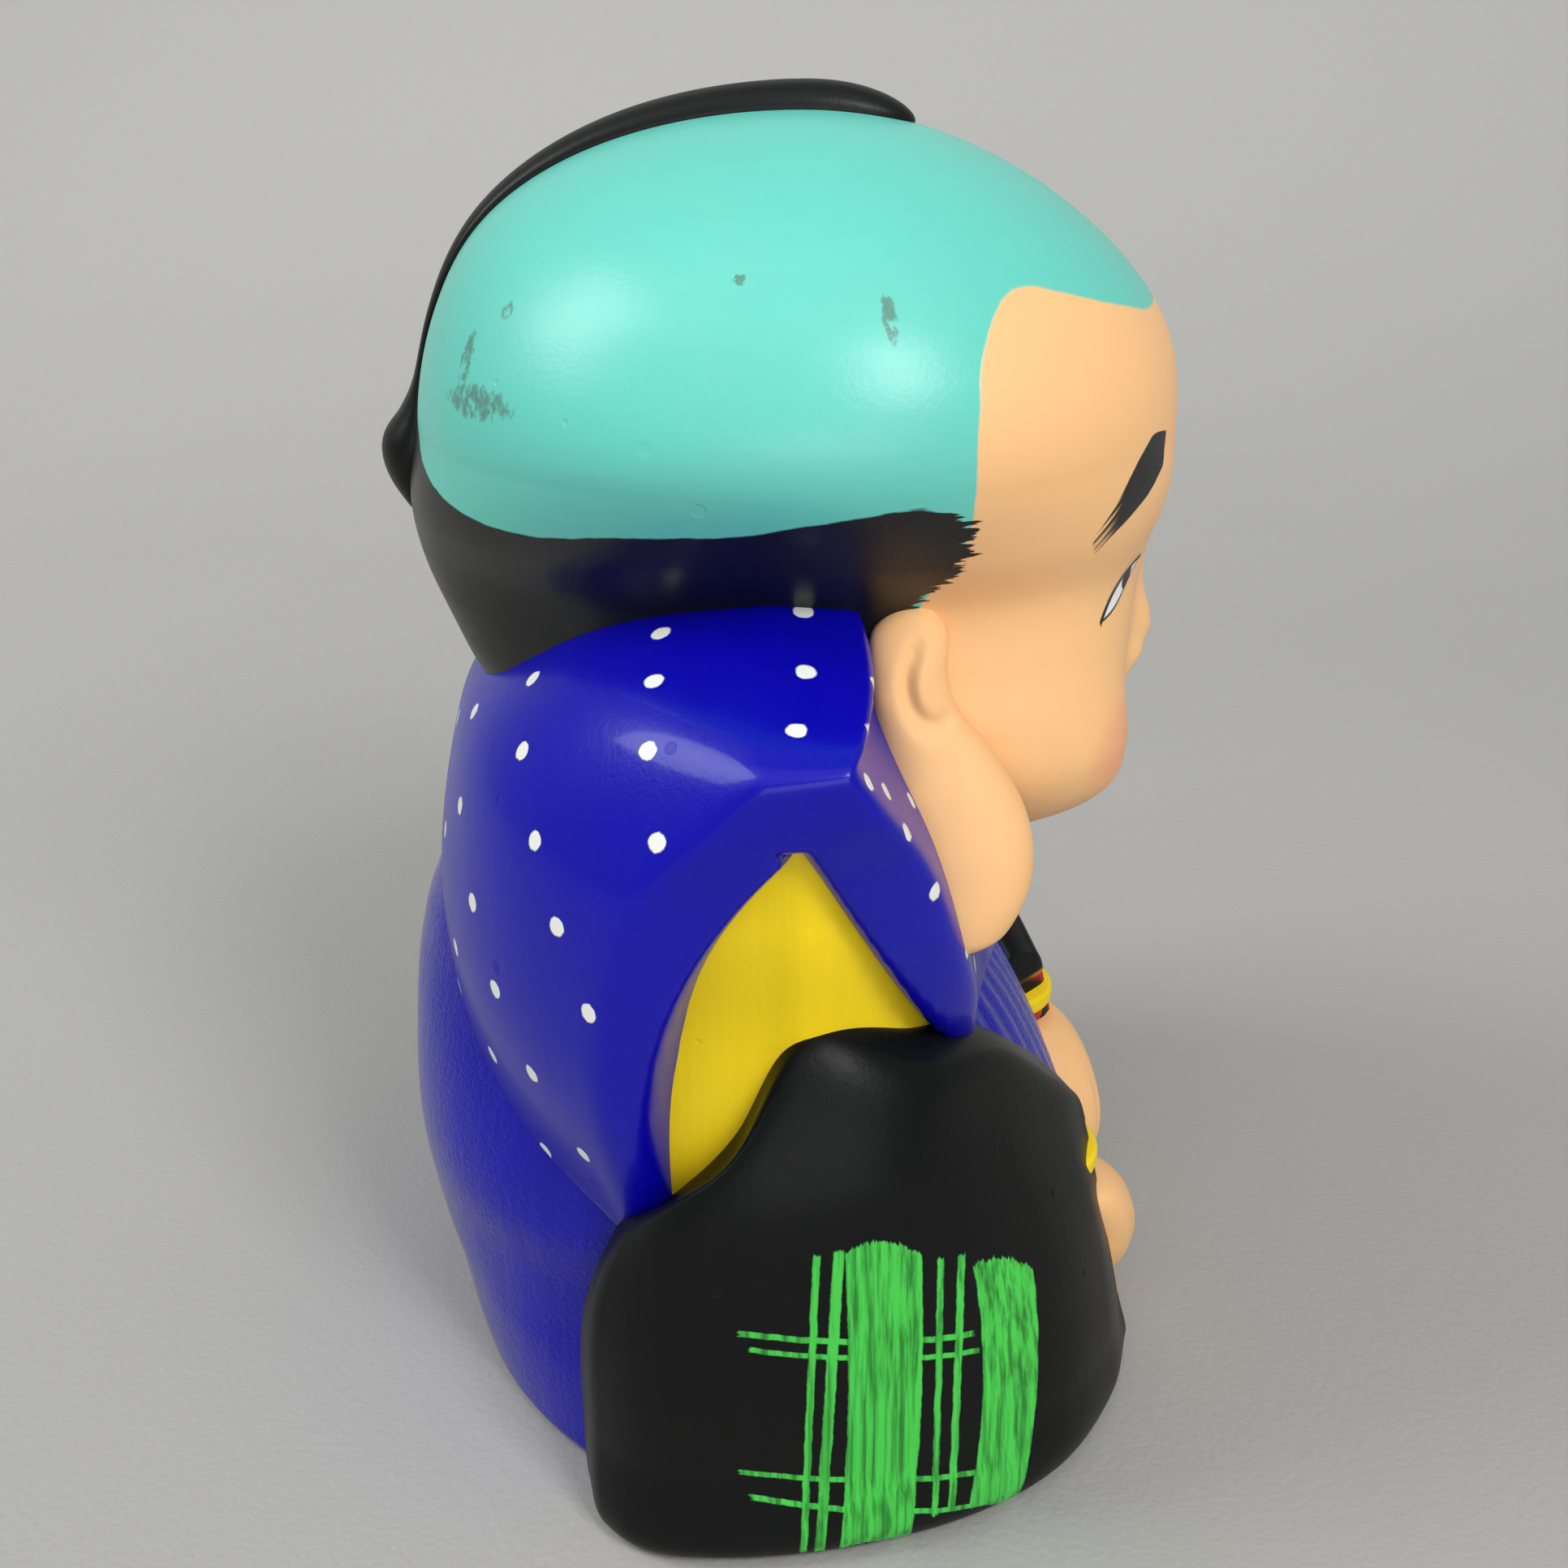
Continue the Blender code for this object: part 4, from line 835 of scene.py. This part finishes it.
iris = maths(tree, 'SQRT', maths(tree, 'ADD', times(tree, iris_way, iris_way),
                                 times(tree, iris_up, iris_up)))
iris = times(tree, ramp(tree, iris, 2.1, 2.4, 1.0, 0.0), open_eye)
ink = maths(tree, 'MAXIMUM', ink, maths(tree, 'MAXIMUM', maths(tree, 'MAXIMUM', lid, under), iris))

# mouth: two small red lips, with a thin dark line where they meet
mouth_up = minus(tree, height_mm, HEAD_LOW + 19)
corner = minus(tree, 1.0, maths(tree, 'POWER', maths(tree, 'DIVIDE', side_mm, 9.0), 2.0))
corner = maths(tree, 'MAXIMUM', corner, 0.0)
smile = times(tree, times(tree, side_mm, side_mm), 0.012)
mouth_up = minus(tree, mouth_up, smile)
lip_edge = times(tree, corner, 3.0)
red_lips = ramp(tree, minus(tree, lip_edge, maths(tree, 'ABSOLUTE', mouth_up)), 0.0, 0.35)
low_face = ramp(tree, wrap_mm, 16, 18, 1.0, 0.0)
red_lips = times(tree, red_lips, low_face)
seam = times(tree, ramp(tree, maths(tree, 'ABSOLUTE', mouth_up), 0.15, 0.35, 1.0, 0.0),
             times(tree, low_face, ramp(tree, corner, 0.0, 0.05)))

chips = place_effect(tree, flecks, vector=place, scale=75.0, share=0.05)["Mask"]
flesh_colour = blend(tree, times(tree, chips, 0.55), flesh_colour, (0.42, 0.24, 0.11, 1))
flesh_colour = blend(tree, open_eye, flesh_colour, (0.85, 0.86, 0.84, 1))
flesh_colour = blend(tree, red_lips, flesh_colour, (*RED, 1))
flesh_colour = blend(tree, maths(tree, 'MAXIMUM', ink, seam), flesh_colour, (0.012, 0.012, 0.012, 1))

# hair: its front end is drawn out over the temple in dry strokes
streak_place = object_place(tree, (0, 110, 1100), (radians(-24), 0, 0))
bristles = speckle(tree, streak_place, 1.0, 3, 0.6)
ragged = times(tree, read_mark(tree, "burn")["Fac"], maths(tree, 'MULTIPLY_ADD', bristles, 17.0, -7.0))
hair_mark = maths(tree, 'ADD', read_mark(tree, "hair")["Fac"], maths(
    tree, 'ADD', ragged, maths(tree, 'MULTIPLY_ADD', speckle(tree, place, 200, 3), 0.8, -0.4)))
on_head = ramp(tree, hair_mark, -0.2, 0.3)

colour = blend(tree, on_skin, pate_colour, flesh_colour)
wire(tree, surface.inputs["Base Color"], blend(tree, on_head, colour, hair_coat["Colour"]))
rough = maths(tree, 'ADD', times(tree, pate["Roughness"], minus(tree, 1.0, on_skin)),
              times(tree, flesh["Roughness"], on_skin))
rough = maths(tree, 'ADD', times(tree, rough, minus(tree, 1.0, on_head)),
              times(tree, hair_coat["Roughness"], on_head))
wire(tree, surface.inputs["Roughness"], rough)
surface.inputs["Specular IOR Level"].default_value = 0.42
bumps = maths(tree, 'MULTIPLY_ADD', on_head, 0.5, pate["Height"])
bumps = maths(tree, 'MULTIPLY_ADD', on_skin, 0.25, minus(tree, bumps, times(tree, chips, 0.4)))
relief(tree, surface, bumps, 0.00022)

piece = casting("painted_head", head, face_paint, "head_paint", "head_shell")
mark(piece, "skin", skin)
mark(piece, "hair", hair)
mark(piece, "burn", burn)
mark(piece, "wrap", wrap)


# ================================================================ topknot
# A roll of hair laid along the middle of the crown, from its blunt tip back to the bound knot that stands off
# the nape. It is modelled on the head in clay and painted black.
TOPKNOT_HALF_WIDTH = 7.0
TOPKNOT_RISE = 1.2
TOPKNOT_TIP = 22.5
KNOT_REACH = 7.0
KNOT_HEIGHT = 177.0

behind = head[:, len(steps) // 2]
ahead_line = head[::-1, 0]
line = np.concatenate([behind[behind[:, 2] > KNOT_HEIGHT - 12],
                       ahead_line[(ahead_line[:, 2] > HEAD_MIDDLE) & (ahead_line[:, 1] > 1)]])
length = np.concatenate([[0], np.cumsum(np.linalg.norm(np.diff(line, axis=0), axis=1))])
crest = len(behind[behind[:, 2] > KNOT_HEIGHT - 12])
tip = np.interp(TOPKNOT_TIP + BODY_AXIS, line[crest:, 1], length[crest:])
at = tip * (1 - np.cos(np.linspace(0, pi, 220))) / 2
path = np.stack([np.interp(at, length, line[:, axis]) for axis in range(3)], axis=1)
run = np.gradient(path, axis=0)
run /= np.linalg.norm(run, axis=1)[:, None]
outward = np.stack([0 * at, -run[:, 2], run[:, 1]], axis=1)
knot = hill(at - 12, 9)
front_swell = hill(at - tip + 8, 16)
close = np.sqrt(1 - np.abs(2 * at / tip - 1) ** 10 * 0.999)
crown = hill(at - tip + 30, 45)
half = (TOPKNOT_HALF_WIDTH + 3.5 * knot) * close
lift = (TOPKNOT_RISE + 2.8 * crown + 1.0 * front_swell + (KNOT_REACH - TOPKNOT_RISE) * knot) * close
ring = np.arange(140) * 2 * pi / 140
roll = (path[:, None] + (half[:, None] * np.sin(ring))[..., None] * np.array((1, 0, 0))
        + (lift[:, None] * np.cos(ring))[..., None] * outward[:, None])
hair_finish = plain_coat("hair_black_paint", BLACK, 0.30, 0.5, 0.38, (900, 60, 60), 0.0, 0.0003)
casting("hair_roll", roll, hair_finish, "black_paint", "topknot")


# ================================================================ ears
# Long ears with heavy lobes, sprigged on to the head before firing: each hangs forward over the edge of the
# vest and has a shallow hollow with a small inner fold near its top.
EAR_TOP_X = 47.0
EAR_LOBE_X = 57.0
EAR_STAND = 10.0
EAR_LOW = 105.0
EAR_HIGH = 164.0

turn_over = np.linspace(0.02, pi / 2, 14)
up = np.concatenate([EAR_LOW + 4 * (1 - np.cos(turn_over)), np.linspace(EAR_LOW + 4, EAR_HIGH - 3, 120)[1:],
                     EAR_HIGH - 3 + 3 * np.sin(turn_over[1:] - 0.02)])[:, None]
front_edge = through((EAR_LOW, 108, 114, 122.7, 130, 138.7, 147, 152, 158, EAR_HIGH),
                     (33, 37, 41, 42.5, 40.8, 35.5, 29, 27.5, 27.5, 26), up)
rear_edge = through((EAR_LOW, 108, 114, 122.7, 130, 138.7, 147, 152, 158, EAR_HIGH),
                    (28, 23.5, 20.5, 18.5, 17, 16, 15, 14.5, 15, 18), up)
low_close = np.sqrt(np.clip(1 - ((EAR_LOW + 5 - up) / 5).clip(0, 1) ** 2, 0.004, 1))
high_close = np.sqrt(np.clip(1 - ((up - EAR_HIGH + 6) / 6).clip(0, 1) ** 2, 0.004, 1))
close = low_close * high_close
share = (EAR_HIGH - up) / (EAR_HIGH - EAR_LOW)
thick = EAR_STAND * through((0, 0.15, 0.45, 0.72, 0.9, 1), (0.25, 0.55, 0.8, 1.0, 0.9, 0.65), share) * close
out, fore = oval(ring[None, :] + 0 * up, 1.0, 1.0, 1.0, 2.2)
outside = np.clip(out, 0, 1)
middle = (front_edge + rear_edge) / 2
breadth = (front_edge - rear_edge) / 2 * close
ahead = middle + breadth * fore
rim = hill(np.hypot((ahead - 25.5) / 5.0, (up - 152) / 6.5) - 1, 0.28)
crease = 1.5 * outside * rim * np.clip((27 - ahead) / 3 + (152 - up) / 6, 0, 1)
fold_over = 0.9 * outside * hill(ahead - 22.5, 2.4) * hill(up - 154, 4.5)
dimple = 0.8 * outside * hill(ahead - 29, 4) * hill(up - 143, 6)
leaning = EAR_TOP_X + (EAR_LOBE_X - EAR_TOP_X) * share ** 0.8
ear = np.stack([leaning + thick * out - crease + fold_over - dimple, ahead, up + 0 * fore], axis=-1)
ear_coat = plain_coat("ear_skin_paint", SKIN, 0.02, 0.05, 0.45, (200, 200, 60))
for word, side in (("right", -1), ("left", 1)):
    casting("long_ear_" + word, ear * (side, 1, 1), ear_coat, "skin_paint", "ear_" + word)


# ================================================================ studio
# A pale paper sweep, painted lighter towards its far wall as painted light, one broad window light above and
# behind the doll, one beside the camera, and a pale sky.
sweep_along = np.linspace(0, 1, 60)
flat_run = np.clip(sweep_along / 0.5, 0, 1)
curve_run = np.clip((sweep_along - 0.5) / 0.25, 0, 1) * pi / 2
wall_run = np.clip((sweep_along - 0.75) / 0.25, 0, 1)
across = -2.0 + 2.5 * flat_run + 1.4 * np.sin(curve_run)
rise = 1.4 * (1 - np.cos(curve_run)) + 1.2 * wall_run
SWEEP_HALF_WIDTH = 3.5
SWEEP_COLUMNS = 40
SWEEP_DROP = 0.0004   # keeps the paper clear of the doll's flat foot
sideways = np.linspace(-SWEEP_HALF_WIDTH, SWEEP_HALF_WIDTH, SWEEP_COLUMNS)
grid = np.stack(np.broadcast_arrays(across[:, None], sideways[None], rise[:, None] - SWEEP_DROP), axis=-1)
corner = np.arange(len(sweep_along) - 1)[:, None] * SWEEP_COLUMNS + np.arange(SWEEP_COLUMNS - 1)
quads = np.stack([corner, corner + SWEEP_COLUMNS, corner + SWEEP_COLUMNS + 1, corner + 1], axis=-1)
quads = quads.reshape(-1, 4)
mesh = bpy.data.meshes.new("paper_sweep")
mesh.from_pydata(grid.reshape(-1, 3).tolist(), [], quads.tolist())
mesh.shade_smooth()
paper, tree, surface = new_paint("paper")
cloud = speckle(tree, object_place(tree), 5, 4)
near_tone = blend(tree, cloud, (0.39, 0.385, 0.37, 1), (0.45, 0.445, 0.42, 1))
# the paper turns lighter towards its far end and up the wall: painted light, standing in for the brighter lit
# backdrop
away = ramp(tree, place_in_mm(tree)[0], -100, 1500)
wire(tree, surface.inputs["Base Color"], blend(tree, away, near_tone, (0.74, 0.73, 0.70, 1)))
surface.inputs["Roughness"].default_value = 0.9
relief(tree, surface, speckle(tree, object_place(tree), 700, 3), 0.0002)
mesh.materials.append(paper)
sweep = bpy.data.objects.new("paper_sweep", mesh)
bpy.context.scene.collection.objects.link(sweep)

world = bpy.data.worlds.new("studio")
world.use_nodes = True
world.node_tree.nodes["Background"].inputs["Color"].default_value = (0.86, 0.88, 0.90, 1)
world.node_tree.nodes["Background"].inputs["Strength"].default_value = 0.34
bpy.context.scene.world = world

cad_middle = (cad_low + cad_high) / 2
for name, direction, distance, width, tall, power in (
        ("back_window", (-0.07, 0.73, 0.68), 1.3, 0.5, 0.7, 7.5),
        ("side_window", (-0.61, -0.41, 0.68), 1.3, 0.35, 0.5, 7.5),
        ("low_fill", (-0.9, -0.15, 0.12), 1.6, 1.4, 0.8, 7.0),
        ("overhead", (-0.4, 0.0, 1.0), 2.6, 3.0, 3.0, 18.0)):
    light = bpy.data.lights.new(name, 'AREA')
    light.shape = 'RECTANGLE'
    light.size = width
    light.size_y = tall
    light.energy = power
    lamp = bpy.data.objects.new(name, light)
    bpy.context.scene.collection.objects.link(lamp)
    lamp.location = cad_middle + Vector(direction).normalized() * distance
    lamp.rotation_euler = (cad_middle - lamp.location).to_track_quat('-Z', 'Y').to_euler()

bpy.context.scene.view_settings.view_transform = 'Standard'

CAMERA_PLACE = (-0.306, -0.001, 0.2464)
CAMERA_DIPS = 24    # degrees below level
CAMERA_FACES = -90  # towards the doll's right side
camera_data = bpy.data.cameras.new("camera")
camera_data.sensor_width = 36.0
camera_data.lens = 38.59
camera = bpy.data.objects.new("camera", camera_data)
bpy.context.scene.collection.objects.link(camera)
camera.location = CAMERA_PLACE
camera.rotation_euler = (radians(90 - CAMERA_DIPS), 0, radians(CAMERA_FACES))
bpy.context.scene.camera = camera
